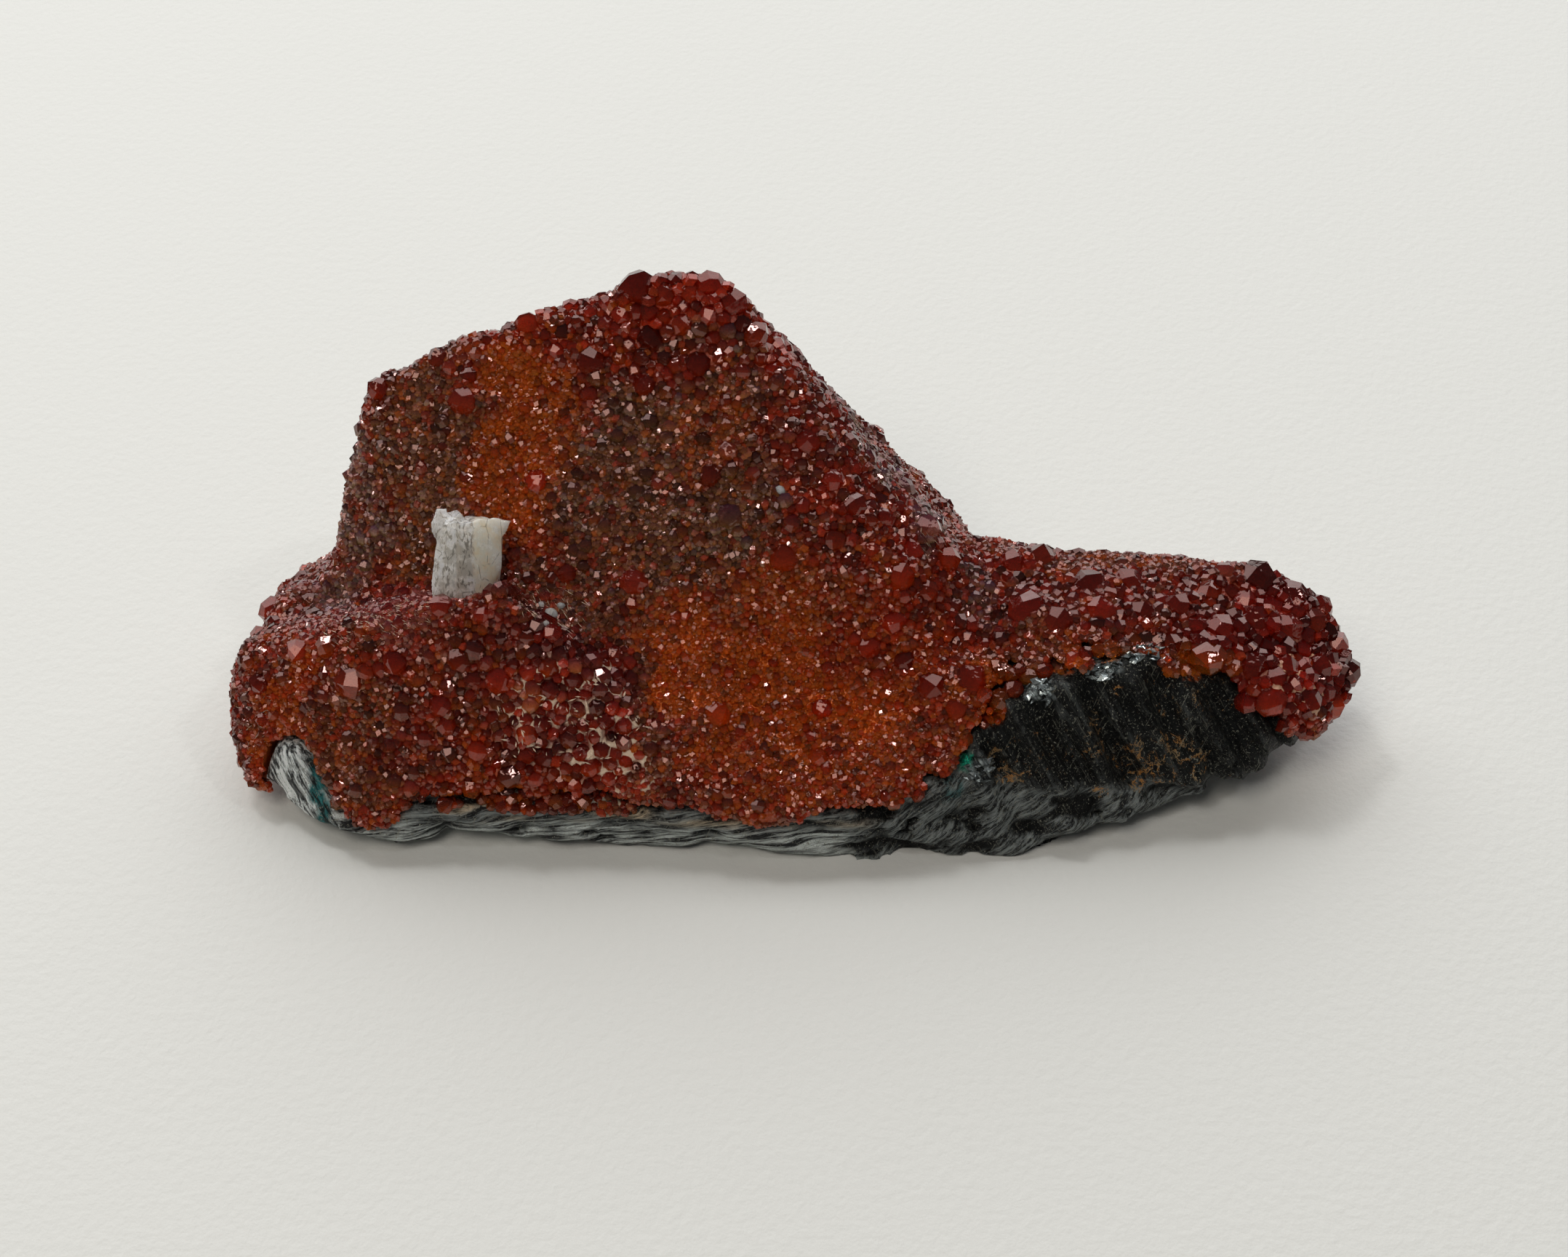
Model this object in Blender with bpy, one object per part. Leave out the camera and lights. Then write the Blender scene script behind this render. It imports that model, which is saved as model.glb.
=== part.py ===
"""Garnet in matrix: a hand specimen of dark fibrous ore, with a druse of small garnets over it
and one white quartz crystal perched on it.

Frame: +X to the right and +Y away, seen from the side with the broken face, and +Z up. The
origin is the centre of the box around the specimen, at its underside. Corners and places in
this file are in millimetres, and MM turns them into Blender's metres.
"""

import math
import random

import bmesh
import bpy
from mathutils import Euler, Matrix, Quaternion, Vector, noise
from mathutils.bvhtree import BVHTree

MM = 0.001

# Driving dimensions, in millimetres
CRUST_THICKNESS = 1.7      # garnet druse over the ore, as its broken edges show
GAP = 0.3                  # clearance between pieces that touch in the real specimen
LINING_MARGIN = 0.2        # more clearance, which makes up for the lining's fewer faces
SKIN_VOXEL = 0.75          # grid on which the lumps are merged into one rounded body
LINING_VOXEL = 0.5
EDGE_ROUNDING = 4          # smoothing passes that wear the lumps' edges
SWELL, SWELL_LENGTH = 0.5, 7.0
GRAIN, GRAIN_LENGTH = 0.24, 1.5
SEED = 11

# Triangles left in each skin
SKIN_TRIANGLES = 3000
LINING_TRIANGLES = 900
ORE_TRIANGLES = 2150

# Corners of the lumps that the specimen is grown from
MAIN_SLAB = [
    (-22.9, 5.9, 17.5), (-13.5, 7.5, 20.3), (-8.6, 8.4, 21.9), (-4.4, 8.2, 22.6),
    (-2.5, 6.3, 20.8), (-1.2, 5.0, 19.2), (4.5, 1.5, 13.8), (9.6, -1.0, 9.0),
    (-25.7, 0.6, 7.5), (-25.6, 1.5, 1.5), (-24.0, 11.0, 1.5), (-23.4, 9.8, 10.0),
    (-6.0, -12.6, 3.0), (-0.7, -12.9, 3.0), (7.4, -12.1, 3.6), (9.3, -9.8, 5.0),
    (-6.0, -12.3, 1.0), (9.0, -11.6, 1.0), (-4.0, 13.0, 1.8), (-4.0, 12.2, 12.0),
    (9.5, 9.0, 1.5), (9.0, 6.5, 6.5),
]
FRONT_LOBE = [
    (-29.8, -3.9, 6.8), (-25.4, -4.9, 9.2), (-18.5, -5.3, 11.8), (-15.2, -5.6, 12.6),
    (-12.9, -6.3, 11.0), (-10.5, -7.4, 9.2), (-7.8, -9.4, 6.7), (-6.4, -11.4, 4.1),
    (-6.4, -12.5, 2.2), (-12.9, -12.5, 2.4), (-21.1, -12.7, 1.6), (-24.1, -12.4, 1.2),
    (-29.5, -9.3, 1.4), (-30.4, -6.9, 3.0), (-30.4, -4.9, 4.6), (-28.5, 0.5, 4.6),
    (-24.0, 1.0, 5.5), (-16.0, -2.0, 8.6), (-28.5, 1.5, 1.6), (-20.0, 3.0, 1.2),
]
LEFT_SHOULDER = [
    (-28.9, -0.4, 6.0), (-27.1, 0.3, 6.7), (-25.0, 1.0, 7.5), (-28.6, 3.0, 4.6),
    (-27.4, 7.2, 3.4), (-24.0, 9.0, 4.2), (-28.6, 1.5, 1.6), (-25.0, 9.8, 1.3),
    (-22.0, 4.0, 6.0),
]
RIGHT_ARM = [
    (9.0, 2.6, 8.4), (13.3, 1.5, 8.7), (18.4, 0.9, 8.1), (24.5, 0.7, 8.1),
    (9.3, -9.5, 5.8), (15.2, -7.3, 8.6), (19.8, -6.7, 8.3), (25.6, -6.4, 6.4),
    (9.0, 6.6, 1.4), (24.0, 5.2, 1.6), (28.0, 1.6, 2.0), (26.6, -7.4, 2.8),
    (21.7, -10.1, 1.6), (15.4, -10.8, 2.0), (9.2, -11.4, 2.4),
]
GARNET_KNOB = [
    (21.0, -6.8, 7.8), (23.4, 0.8, 8.4), (25.8, 0.4, 8.1), (28.1, -0.8, 7.0),
    (30.4, -3.2, 5.1), (30.0, -5.0, 3.9), (28.6, -6.3, 3.0), (25.6, -8.4, 4.9),
    (23.5, -7.9, 6.6), (29.2, 0.4, 3.8), (27.0, -4.0, 2.4),
]
BASE = [
    (-26.0, -11.4, 1.2), (-24.0, -12.0, 0.9), (-10.6, -12.6, 0.8), (1.0, -13.0, 0.4),
    (6.0, -13.2, -0.4), (11.5, -13.1, 0.0), (17.4, -11.8, 1.3), (22.0, -9.0, 1.6),
    (25.0, -2.0, 1.8), (20.0, 4.5, 1.0), (8.0, 8.5, 0.6), (-4.0, 12.2, 0.8),
    (-22.0, 9.8, 0.8), (-27.0, -1.0, 1.2), (-14.0, -7.5, -0.6), (14.0, -8.0, -0.6),
    (14.0, 2.5, -0.6), (-2.0, 8.5, -0.6), (-15.0, 6.0, -0.6), (-20.0, -3.0, -0.4),
    (-20.0, 4.0, 3.0), (12.0, 0.0, 3.0), (0.0, -10.0, 3.0), (12.0, -10.5, 2.9),
]
LUMPS = [MAIN_SLAB, FRONT_LOBE, LEFT_SHOULDER, RIGHT_ARM, GARNET_KNOB, BASE]

# Hollows in the main face and the underside: centre and radii of each ball that is taken out
HOLLOWS = [
    ((2.0, -15.2, 16.6), (15.0, 13.0, 13.0)),
    ((-14.5, -4.0, 25.5), (5.5, 11.5, 12.5)),
    ((-14.0, 2.5, -12.0), (17.0, 10.0, 13.3)),
    ((12.5, -3.0, -12.0), (15.0, 8.5, 13.2)),
    ((1.0, 10.0, -12.0), (9.0, 9.0, 13.4)),
]

# Height of the druse's lower edge, at places along the front and along the back
FRONT_EDGE = [
    (-32.0, 1.2), (-27.0, 1.4), (-23.5, 1.9), (-19.5, 2.7), (-15.0, 3.5), (-9.0, 2.8),
    (-5.5, 2.6), (0.0, 3.1), (5.0, 3.5), (9.0, 4.6), (14.0, 3.4), (25.0, 2.4), (32.0, 2.4),
]
BACK_EDGE = [
    (-32.0, 3.0), (-24.0, 5.0), (-16.0, 9.5), (-7.0, 11.5), (2.0, 9.0), (9.0, 5.5),
    (18.0, 4.6), (25.0, 3.6), (32.0, 2.6),
]
EDGE_WAVE, EDGE_WAVE_LENGTH = 1.1, 4.5

# Outline of the broken ore on the arm's front, across and up, and how deep the break is cut
BREAK_OUTLINE = [
    (8.9, 5.1), (11.2, 6.8), (13.2, 7.75), (15.4, 8.0), (18.6, 8.2), (19.7, 7.2),
    (21.7, 7.0), (23.6, 5.9), (25.8, 4.6), (27.6, 3.5), (27.6, 0.0), (8.9, 0.0),
]
BREAK_FRONT, BREAK_BACK = -15.0, -4.6
FIBRE_HEIGHT, FIBRE_LENGTH, FIBRE_SLANT = 0.75, 2.9, math.radians(62)

# Ledges where the ore has parted along its layers, everywhere else on it
LEDGE_HEIGHT, LEDGE_LENGTH = 0.6, 2.6
LEDGE_ACROSS = Vector((0.25, 0.3, 0.92))

# The chipped corner at the lower left, where bare ore shows through the druse
CORNER_CHIP = [
    (-26.5, -7.4, 4.9), (-27.5, -9.6, 4.6), (-29.3, -8.4, 0.4), (-30.4, -10.6, 0.4),
    (-23.7, -10.2, 1.4), (-23.5, -14.0, 1.4), (-24.5, -12.0, 2.8), (-28.0, -7.0, 0.4),
]

# The quartz crystal, in its own frame: across, forward and up from its foot
QUARTZ_BLADE = [
    (-0.9, -0.8, -0.9), (-0.55, 0.95, -0.9), (-1.9, 0.35, -0.9), (-1.7, -0.7, -0.9),
    (-0.55, 1.0, 3.9), (-0.5, 0.7, 4.3), (-1.7, 0.3, 3.3), (-2.0, 0.45, 0.9),
    (-0.7, -0.7, 4.6), (-1.3, -0.5, 4.5), (-1.2, 0.75, 4.2),
]
QUARTZ_BLOCK = [
    (-0.8, -0.9, -0.5), (-0.6, 0.7, -0.6), (0.5, 0.6, -0.4), (1.0, 0.4, 0.3),
    (1.5, -0.6, 0.7), (1.75, 0.3, 1.9), (1.7, 0.3, 3.2), (1.6, -0.8, 3.9),
    (-0.5, 0.75, 4.1), (0.9, 0.5, 4.5), (1.6, 0.1, 4.35), (-0.4, -0.9, 4.2),
]
QUARTZ_TIPS = [
    [(1.1, 0.35, 4.2), (1.3, -0.5, 4.1), (2.1, 0.15, 4.35), (2.1, -0.3, 4.2),
     (2.0, 0.1, 3.8), (1.5, 0.2, 3.1), (1.4, -0.3, 3.2)],
    [(-2.0, 0.35, 3.5), (-1.9, -0.3, 3.6), (-2.0, 0.2, 4.1), (-1.8, 0.1, 4.8),
     (-1.2, 0.0, 4.85), (-1.0, 0.3, 4.3), (-1.2, -0.4, 4.3), (-1.4, 0.5, 2.6), (-1.3, -0.4, 2.6)],
    [(-1.0, 0.25, 4.2), (-0.5, 0.3, 4.72), (-0.3, 0.1, 4.3), (-0.6, -0.4, 4.6), (-0.9, -0.4, 4.0),
     (-0.4, -0.3, 3.9)],
]
QUARTZ_FOOT = (-17.1, -4.0, 10.5)
QUARTZ_LEAN, QUARTZ_TURN = math.radians(-27), math.radians(-4)

# The garnets that stand out most: x, y and the width across two faces
NAMED_GARNETS = [
    (-8.3, 7.8, 1.9), (-7.0, 7.4, 1.3), (-7.6, 5.9, 1.5), (-9.2, 6.9, 1.1), (-8.0, 4.2, 1.3),
    (-4.6, 7.7, 1.6), (-3.4, 7.0, 1.5), (-2.2, 5.9, 1.4), (-4.6, 6.4, 1.2), (-6.0, 6.1, 1.2),
    (-0.7, -2.9, 1.5), (-3.6, 1.3, 1.1), (-4.5, 0.4, 1.2), (0.5, 1.7, 1.3), (1.8, 0.3, 1.3),
    (3.0, -0.5, 1.4), (4.5, -0.5, 1.3), (6.9, 0.1, 1.4), (6.0, -1.5, 1.3), (7.9, -1.0, 1.5),
    (5.4, -3.1, 1.5), (6.8, -3.0, 1.2), (9.1, -6.7, 2.0), (7.0, -7.3, 1.6), (8.2, -8.3, 1.2),
    (3.8, -5.4, 1.3), (5.0, -4.6, 1.4), (5.6, -6.0, 1.1), (12.2, -3.1, 2.1), (13.7, -4.1, 1.7),
    (15.6, -1.4, 2.0), (17.6, -1.0, 1.7), (16.0, -3.2, 1.6), (11.6, 0.4, 1.8), (13.1, 0.7, 1.7),
    (18.3, -3.1, 1.5), (20.2, -2.6, 1.6), (22.0, -1.4, 1.5), (24.7, -0.2, 2.1), (26.5, -0.9, 1.8),
    (23.0, 0.0, 1.5), (22.3, -4.0, 1.9), (24.3, -3.0, 1.8), (26.0, -3.0, 1.9), (27.6, -2.2, 1.8),
    (28.9, -2.7, 1.6), (29.6, -3.9, 1.5), (27.6, -4.6, 1.8), (25.7, -5.5, 2.0), (23.9, -5.9, 1.8),
    (24.9, -7.4, 1.6), (26.9, -6.6, 1.7), (28.5, -5.7, 1.6), (21.6, -5.9, 1.7), (28.2, -0.9, 1.5),
    (-23.3, -7.1, 1.8), (-20.9, -7.0, 1.3), (-15.4, -8.1, 1.5), (-17.5, -7.3, 1.3),
    (-12.8, -7.9, 1.1), (-16.6, -10.2, 1.3), (-15.0, -11.0, 1.4), (-18.5, -8.7, 1.2),
    (-14.0, -9.8, 1.2), (-26.2, -5.4, 1.2), (-28.4, -5.8, 1.3), (-24.6, -5.7, 1.2),
    (1.3, -7.8, 1.1), (1.1, -10.1, 1.1), (-22.2, 5.4, 1.2), (-19.0, 6.2, 1.1), (-14.2, 7.2, 1.2),
]
SCATTERED_GARNETS = 24
SCATTERED_WIDTH = (1.1, 1.7)
SUNK = 0.06                # depth of a garnet's centre under the skin, as a share of its width

# Colour, roughness and metallic value of each piece
ORE_LOOK = ((0.045, 0.052, 0.058), 0.42, 0.55)
GARNET_LOOK = ((0.26, 0.035, 0.018), 0.22, 0.0)
QUARTZ_LOOK = ((0.86, 0.84, 0.79), 0.2, 0.0)


def clear_scene():
    for old in list(bpy.data.objects):
        bpy.data.objects.remove(old)


def material(name, look):
    colour, roughness, metallic = look
    made = bpy.data.materials.new(name)
    made.use_nodes = True
    shader = made.node_tree.nodes["Principled BSDF"]
    shader.inputs["Base Color"].default_value = (*colour, 1.0)
    shader.inputs["Roughness"].default_value = roughness
    shader.inputs["Metallic"].default_value = metallic
    return made


def object_from(name, shape):
    """A new object from a bmesh, which is freed."""
    bmesh.ops.recalc_face_normals(shape, faces=shape.faces)
    mesh = bpy.data.meshes.new(name)
    shape.to_mesh(mesh)
    shape.free()
    made = bpy.data.objects.new(name, mesh)
    bpy.context.scene.collection.objects.link(made)
    return made


def copy_of(solid, name):
    made = bpy.data.objects.new(name, solid.data.copy())
    bpy.context.scene.collection.objects.link(made)
    return made


def hull(name, corners):
    """The convex solid round the given corners."""
    shape = bmesh.new()
    for corner in corners:
        shape.verts.new(Vector(corner) * MM)
    found = bmesh.ops.convex_hull(shape, input=shape.verts)
    spare = [v for v in found["geom_interior"] if isinstance(v, bmesh.types.BMVert)]
    bmesh.ops.delete(shape, geom=spare, context="VERTS")
    return object_from(name, shape)


def ball(name, centre, radii):
    shape = bmesh.new()
    bmesh.ops.create_icosphere(shape, subdivisions=4, radius=1.0)
    bmesh.ops.scale(shape, vec=Vector(radii) * MM, verts=shape.verts)
    bmesh.ops.translate(shape, vec=Vector(centre) * MM, verts=shape.verts)
    return object_from(name, shape)


def prism(name, outline, front, back):
    """An outline in X and Z, extruded along Y from front to back."""
    shape = bmesh.new()
    loop = [shape.verts.new(Vector((x, front, z)) * MM) for x, z in outline]
    face = shape.faces.new(loop)
    pushed = bmesh.ops.extrude_face_region(shape, geom=[face])["geom"]
    moved = [v for v in pushed if isinstance(v, bmesh.types.BMVert)]
    bmesh.ops.translate(shape, vec=Vector((0, back - front, 0)) * MM, verts=moved)
    return object_from(name, shape)


def bake(solid):
    """Applies the object's modifiers to its mesh."""
    graph = bpy.context.evaluated_depsgraph_get()
    mesh = bpy.data.meshes.new_from_object(solid.evaluated_get(graph))
    solid.modifiers.clear()
    solid.data = mesh
    return solid


def combine(solid, tools, operation):
    """A Boolean of the solid with each tool in turn. The tools are used up."""
    for tool in tools:
        step = solid.modifiers.new("combine", "BOOLEAN")
        step.operation = operation
        step.solver = "EXACT"
        step.object = tool
        bake(solid)
        bpy.data.objects.remove(tool)
    return solid


def merge_on_grid(solid, voxel, rounding):
    """One even skin over the solid, with its edges rounded."""
    grid = solid.modifiers.new("grid", "REMESH")
    grid.mode = "VOXEL"
    grid.voxel_size = voxel * MM
    worn = solid.modifiers.new("worn edges", "SMOOTH")
    worn.factor = 0.5
    worn.iterations = rounding
    return bake(solid)


def thin_out(solid, triangles):
    """Fewer, larger faces, where the skin is plainest first."""
    now = sum(len(face.vertices) - 2 for face in solid.data.polygons)
    fewer = solid.modifiers.new("fewer faces", "DECIMATE")
    fewer.ratio = min(1.0, triangles / now)
    fewer.use_collapse_triangulate = True
    return bake(solid)


def push(solid, distance_at):
    """Moves each vertex along its normal by distance_at(place, normal), in millimetres."""
    places = [v.co + v.normal * (distance_at(v.co / MM, v.normal) * MM) for v in solid.data.vertices]
    for vertex, place in zip(solid.data.vertices, places):
        vertex.co = place
    solid.data.update()
    return solid


def roughen(solid, height, length, seed):
    """Waves of smooth noise over the skin."""
    offset = Vector((seed, seed * 0.7, seed * 1.3))
    return push(solid, lambda place, normal: noise.noise(place / length + offset) * height)


def along(points, x):
    """The second value at x, read from straight lines between (x, value) points."""
    for (x0, a), (x1, b) in zip(points, points[1:]):
        if x <= x1:
            return a + (b - a) * max(0.0, (x - x0) / (x1 - x0))
    return points[-1][1]


def grow_body():
    """The whole specimen as one rounded body, before it is parted into druse and ore."""
    lumps = [hull(f"lump_{i}", corners) for i, corners in enumerate(LUMPS)]
    body = combine(lumps[0], lumps[1:], "UNION")
    hollows = [ball(f"hollow_{i}", *shape) for i, shape in enumerate(HOLLOWS)]
    combine(body, hollows, "DIFFERENCE")
    merge_on_grid(body, SKIN_VOXEL, EDGE_ROUNDING)
    roughen(body, SWELL, SWELL_LENGTH, SEED)
    return body


def ore_below_edge():
    """Everything below the druse's wavy lower edge, which stands higher along the back."""
    low, high, step = (-34.0, -17.0), (34.0, 17.0), 1.0
    columns = int((high[0] - low[0]) / step) + 1
    rows = int((high[1] - low[1]) / step) + 1
    shape = bmesh.new()
    grid = []
    for row in range(rows):
        y = low[1] + row * step
        share = min(1.0, max(0.0, (y + 11.0) / 22.0))
        share = share * share * (3 - 2 * share)
        for column in range(columns):
            x = low[0] + column * step
            height = along(FRONT_EDGE, x) * (1 - share) + along(BACK_EDGE, x) * share
            height += noise.noise(Vector((x, y, SEED)) / EDGE_WAVE_LENGTH) * EDGE_WAVE * (0.35 + share)
            grid.append(shape.verts.new(Vector((x, y, height)) * MM))
    for row in range(rows - 1):
        for column in range(columns - 1):
            i = row * columns + column
            shape.faces.new((grid[i], grid[i + 1], grid[i + columns + 1], grid[i + columns]))
    rim = [edge for edge in shape.edges if edge.is_boundary]
    skirt = bmesh.ops.extrude_edge_only(shape, edges=rim)["geom"]
    for vertex in skirt:
        if isinstance(vertex, bmesh.types.BMVert):
            vertex.co.z = -5.0 * MM
    bmesh.ops.holes_fill(shape, edges=[edge for edge in shape.edges if edge.is_boundary])
    return object_from("below_edge", shape)


def ore_relief(place, normal):
    """Slanting ridges on the fibrous break at the arm's front, and low ledges elsewhere."""
    wander = noise.noise(place / 4.0) * 1.2
    if place.x > 8.5 and normal.y < -0.35 and place.z > 1.5:
        across = place.x * math.sin(FIBRE_SLANT) + place.z * math.cos(FIBRE_SLANT) + wander
        return (abs(math.sin(math.pi * across / FIBRE_LENGTH)) - 0.75) * FIBRE_HEIGHT
    across = place.dot(LEDGE_ACROSS) + wander
    return (across / LEDGE_LENGTH % 1.0 - 0.6) * LEDGE_HEIGHT


def split_ore(body):
    """The ore: an inner copy of the body under the druse, flush with the body where it is bare."""
    regions = [
        ore_below_edge(),
        prism("break", BREAK_OUTLINE, BREAK_FRONT, BREAK_BACK),
        hull("chip", CORNER_CHIP),
    ]
    bare = combine(regions[0], regions[1:], "UNION")
    outer = combine(copy_of(body, "outer"), [bare], "INTERSECT")
    ore = push(copy_of(body, "ore_matrix"), lambda place, normal: -CRUST_THICKNESS)
    merge_on_grid(ore, SKIN_VOXEL, 1)
    combine(ore, [outer], "UNION")
    merge_on_grid(ore, SKIN_VOXEL, 1)
    push(ore, ore_relief)
    return thin_out(ore, ORE_TRIANGLES)


def cut_underside(solid):
    """Cuts the solid flat at z = 0, the face it rests on."""
    floor = hull("floor", [(x, y, z) for x in (-40, 40) for y in (-20, 20) for z in (-9, 0)])
    return combine(solid, [floor], "DIFFERENCE")


def garnet(name, place, normal, width, spin):
    """A rhombic dodecahedron, the usual garnet crystal, set in the skin at a place."""
    corners = [Vector((x, y, z)) for x in (-1, 1) for y in (-1, 1) for z in (-1, 1)]
    for axis in range(3):
        for way in (-2, 2):
            corner = Vector()
            corner[axis] = way
            corners.append(corner)
    across_faces = 2 * math.sqrt(2)
    turn = spin.to_matrix() * (width / across_faces)
    centre = place - normal * (SUNK * width)
    return hull(name, [centre + turn @ corner for corner in corners])


def random_turn(chance):
    axis = Vector([chance.gauss(0, 1) for _ in range(3)]).normalized()
    return Quaternion(axis, chance.uniform(0, 2 * math.pi))


def tree_of(solid):
    shape = bmesh.new()
    shape.from_mesh(solid.data)
    tree = BVHTree.FromBMesh(shape)
    shape.free()
    return tree


def garnet_places(crust, lining):
    """Place, normal and width of each garnet: the named ones, then some scattered over the rest."""
    skin, inside = tree_of(crust), tree_of(lining)
    found = []
    for x, y, width in NAMED_GARNETS:
        place, normal, _, _ = skin.ray_cast(Vector((x, y, 60)) * MM, Vector((0, 0, -1)))
        if place:
            found.append((place / MM, normal, width))
    chance = random.Random(SEED)
    faces = [face for face in crust.data.polygons if face.area > 0]
    areas = [face.area for face in faces]
    wanted = len(found) + SCATTERED_GARNETS
    while len(found) < wanted:
        face = chance.choices(faces, areas)[0]
        place, normal = face.center / MM, face.normal
        depth = inside.find_nearest(face.center)[3] / MM
        width = chance.uniform(*SCATTERED_WIDTH)
        apart = min((place - other).length - (width + size) / 2 for other, _, size in found)
        if depth > CRUST_THICKNESS * 0.7 and apart > 0.8 and place.z > 3.0:
            found.append((place, normal.copy(), width))
    return found


def grow_crust(body, ore):
    """The druse: the body less the ore, with the larger garnets fused to it."""
    lining = push(copy_of(ore, "lining"), lambda place, normal: GAP + LINING_MARGIN)
    merge_on_grid(lining, LINING_VOXEL, 0)
    thin_out(lining, LINING_TRIANGLES)
    crust = roughen(copy_of(body, "garnet_crust"), GRAIN, GRAIN_LENGTH, SEED + 1)
    thin_out(crust, SKIN_TRIANGLES)
    chance = random.Random(SEED + 2)
    for i, (place, normal, width) in enumerate(garnet_places(crust, lining)):
        combine(crust, [garnet(f"garnet_{i}", place, normal, width, random_turn(chance))], "UNION")
    return combine(crust, [lining], "DIFFERENCE")


def quartz(name, grown):
    """The quartz crystal's intergrown blades as one solid, all grown by a margin."""
    parts = []
    for i, corners in enumerate([QUARTZ_BLADE, QUARTZ_BLOCK, *QUARTZ_TIPS]):
        middle = sum((Vector(corner) for corner in corners), Vector()) / len(corners)
        wider = [Vector(corner) + (Vector(corner) - middle).normalized() * grown for corner in corners]
        parts.append(hull(f"{name}_{i}", [(x, -y, z) for x, y, z in wider]))
    crystal = combine(parts[0], parts[1:], "UNION")
    crystal.name = name
    turned = Euler((QUARTZ_LEAN, 0.0, QUARTZ_TURN)).to_matrix().to_4x4()
    crystal.data.transform(Matrix.Translation(Vector(QUARTZ_FOOT) * MM) @ turned)
    return crystal


def largest_piece(solid):
    """Drops the loose crumbs that a Boolean cut may leave."""
    shape = bmesh.new()
    shape.from_mesh(solid.data)
    left, groups = set(shape.verts), []
    while left:
        group, reach = set(), [next(iter(left))]
        while reach:
            vertex = reach.pop()
            if vertex not in group:
                group.add(vertex)
                reach += [edge.other_vert(vertex) for edge in vertex.link_edges]
        groups.append(group)
        left -= group
    groups.sort(key=len)
    for group in groups[:-1]:
        bmesh.ops.delete(shape, geom=list(group), context="VERTS")
    shape.to_mesh(solid.data)
    shape.free()
    return solid


def centre_on_origin(solids):
    """Puts the origin at the centre of the box around the solids, at its underside."""
    corners = [solid.matrix_world @ v.co for solid in solids for v in solid.data.vertices]
    low = Vector([min(corner[i] for corner in corners) for i in range(3)])
    high = Vector([max(corner[i] for corner in corners) for i in range(3)])
    middle = Vector(((low.x + high.x) / 2, (low.y + high.y) / 2, low.z))
    for solid in solids:
        solid.data.transform(Matrix.Translation(-middle))


def main():
    clear_scene()
    body = grow_body()
    ore = split_ore(body)
    crust = grow_crust(body, ore)
    bpy.data.objects.remove(body)
    combine(crust, [quartz("pocket", GAP)], "DIFFERENCE")
    cut_underside(crust)
    largest_piece(crust)
    cut_underside(ore)
    largest_piece(ore)
    crystal = quartz("quartz_crystal", 0.0)
    crust.data.materials.append(material("garnet", GARNET_LOOK))
    ore.data.materials.append(material("ore", ORE_LOOK))
    crystal.data.materials.append(material("quartz", QUARTZ_LOOK))
    centre_on_origin([crust, ore, crystal])


main()
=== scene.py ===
"""Garnet in matrix: the looks of a hand specimen, as an add-on's operators.

A wedge of dark fibrous ore under a druse of small garnets, with a cloudy quartz crystal on it.
Lengths are in metres, unless a name ends in _MM or a comment says otherwise. +X runs to the
specimen's knobbly right end, +Y to its back and +Z up.
"""

import math

import bpy
import numpy as np
from bpy.props import FloatProperty, FloatVectorProperty, IntProperty, PointerProperty
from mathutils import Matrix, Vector, noise
from mathutils.bvhtree import BVHTree


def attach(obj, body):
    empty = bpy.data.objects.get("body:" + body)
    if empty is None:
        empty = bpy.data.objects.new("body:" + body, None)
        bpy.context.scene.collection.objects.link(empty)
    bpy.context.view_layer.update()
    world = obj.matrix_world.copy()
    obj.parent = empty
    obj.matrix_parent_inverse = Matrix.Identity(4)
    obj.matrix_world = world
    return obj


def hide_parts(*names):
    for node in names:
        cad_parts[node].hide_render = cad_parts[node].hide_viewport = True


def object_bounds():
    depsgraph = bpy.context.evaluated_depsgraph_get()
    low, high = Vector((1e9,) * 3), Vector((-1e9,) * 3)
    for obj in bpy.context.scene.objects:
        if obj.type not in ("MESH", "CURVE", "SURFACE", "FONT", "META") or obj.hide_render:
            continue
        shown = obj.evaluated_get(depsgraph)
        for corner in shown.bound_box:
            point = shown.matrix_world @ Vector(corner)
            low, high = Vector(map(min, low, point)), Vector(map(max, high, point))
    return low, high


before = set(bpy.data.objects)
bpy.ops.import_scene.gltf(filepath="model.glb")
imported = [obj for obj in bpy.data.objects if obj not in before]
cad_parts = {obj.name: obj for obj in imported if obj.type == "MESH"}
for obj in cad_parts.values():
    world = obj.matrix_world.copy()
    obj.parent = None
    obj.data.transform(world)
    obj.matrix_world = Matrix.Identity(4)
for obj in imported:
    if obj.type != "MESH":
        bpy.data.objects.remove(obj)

bl_info = {
    "name": "Garnet in matrix",
    "version": (1, 0, 0),
    "blender": (4, 5, 0),
    "location": "View3D > Sidebar > Specimen",
    "description": "Builds a garnet druse on dark ore, with a quartz crystal",
    "category": "Add Mesh",
}

MM = 0.001
CAD_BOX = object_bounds()
BODY = "root"

# Linear colours that the druse's crystals take
TINTS = {
    "wine": (0.66, 0.040, 0.010),
    "blood": (0.30, 0.012, 0.006),
    "scarlet": (1.00, 0.115, 0.010),
    "amber": (1.00, 0.215, 0.012),
    "honey": (1.00, 0.29, 0.03),
    "umber": (0.300, 0.135, 0.055),
    "plum": (0.240, 0.062, 0.040),
    "rose": (0.62, 0.230, 0.140),
    "ash": (0.52, 0.400, 0.290),
    "cream": (1.00, 0.78, 0.58),
    "clay": (0.80, 0.46, 0.29),
}
TINT_NAMES = list(TINTS)

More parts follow.
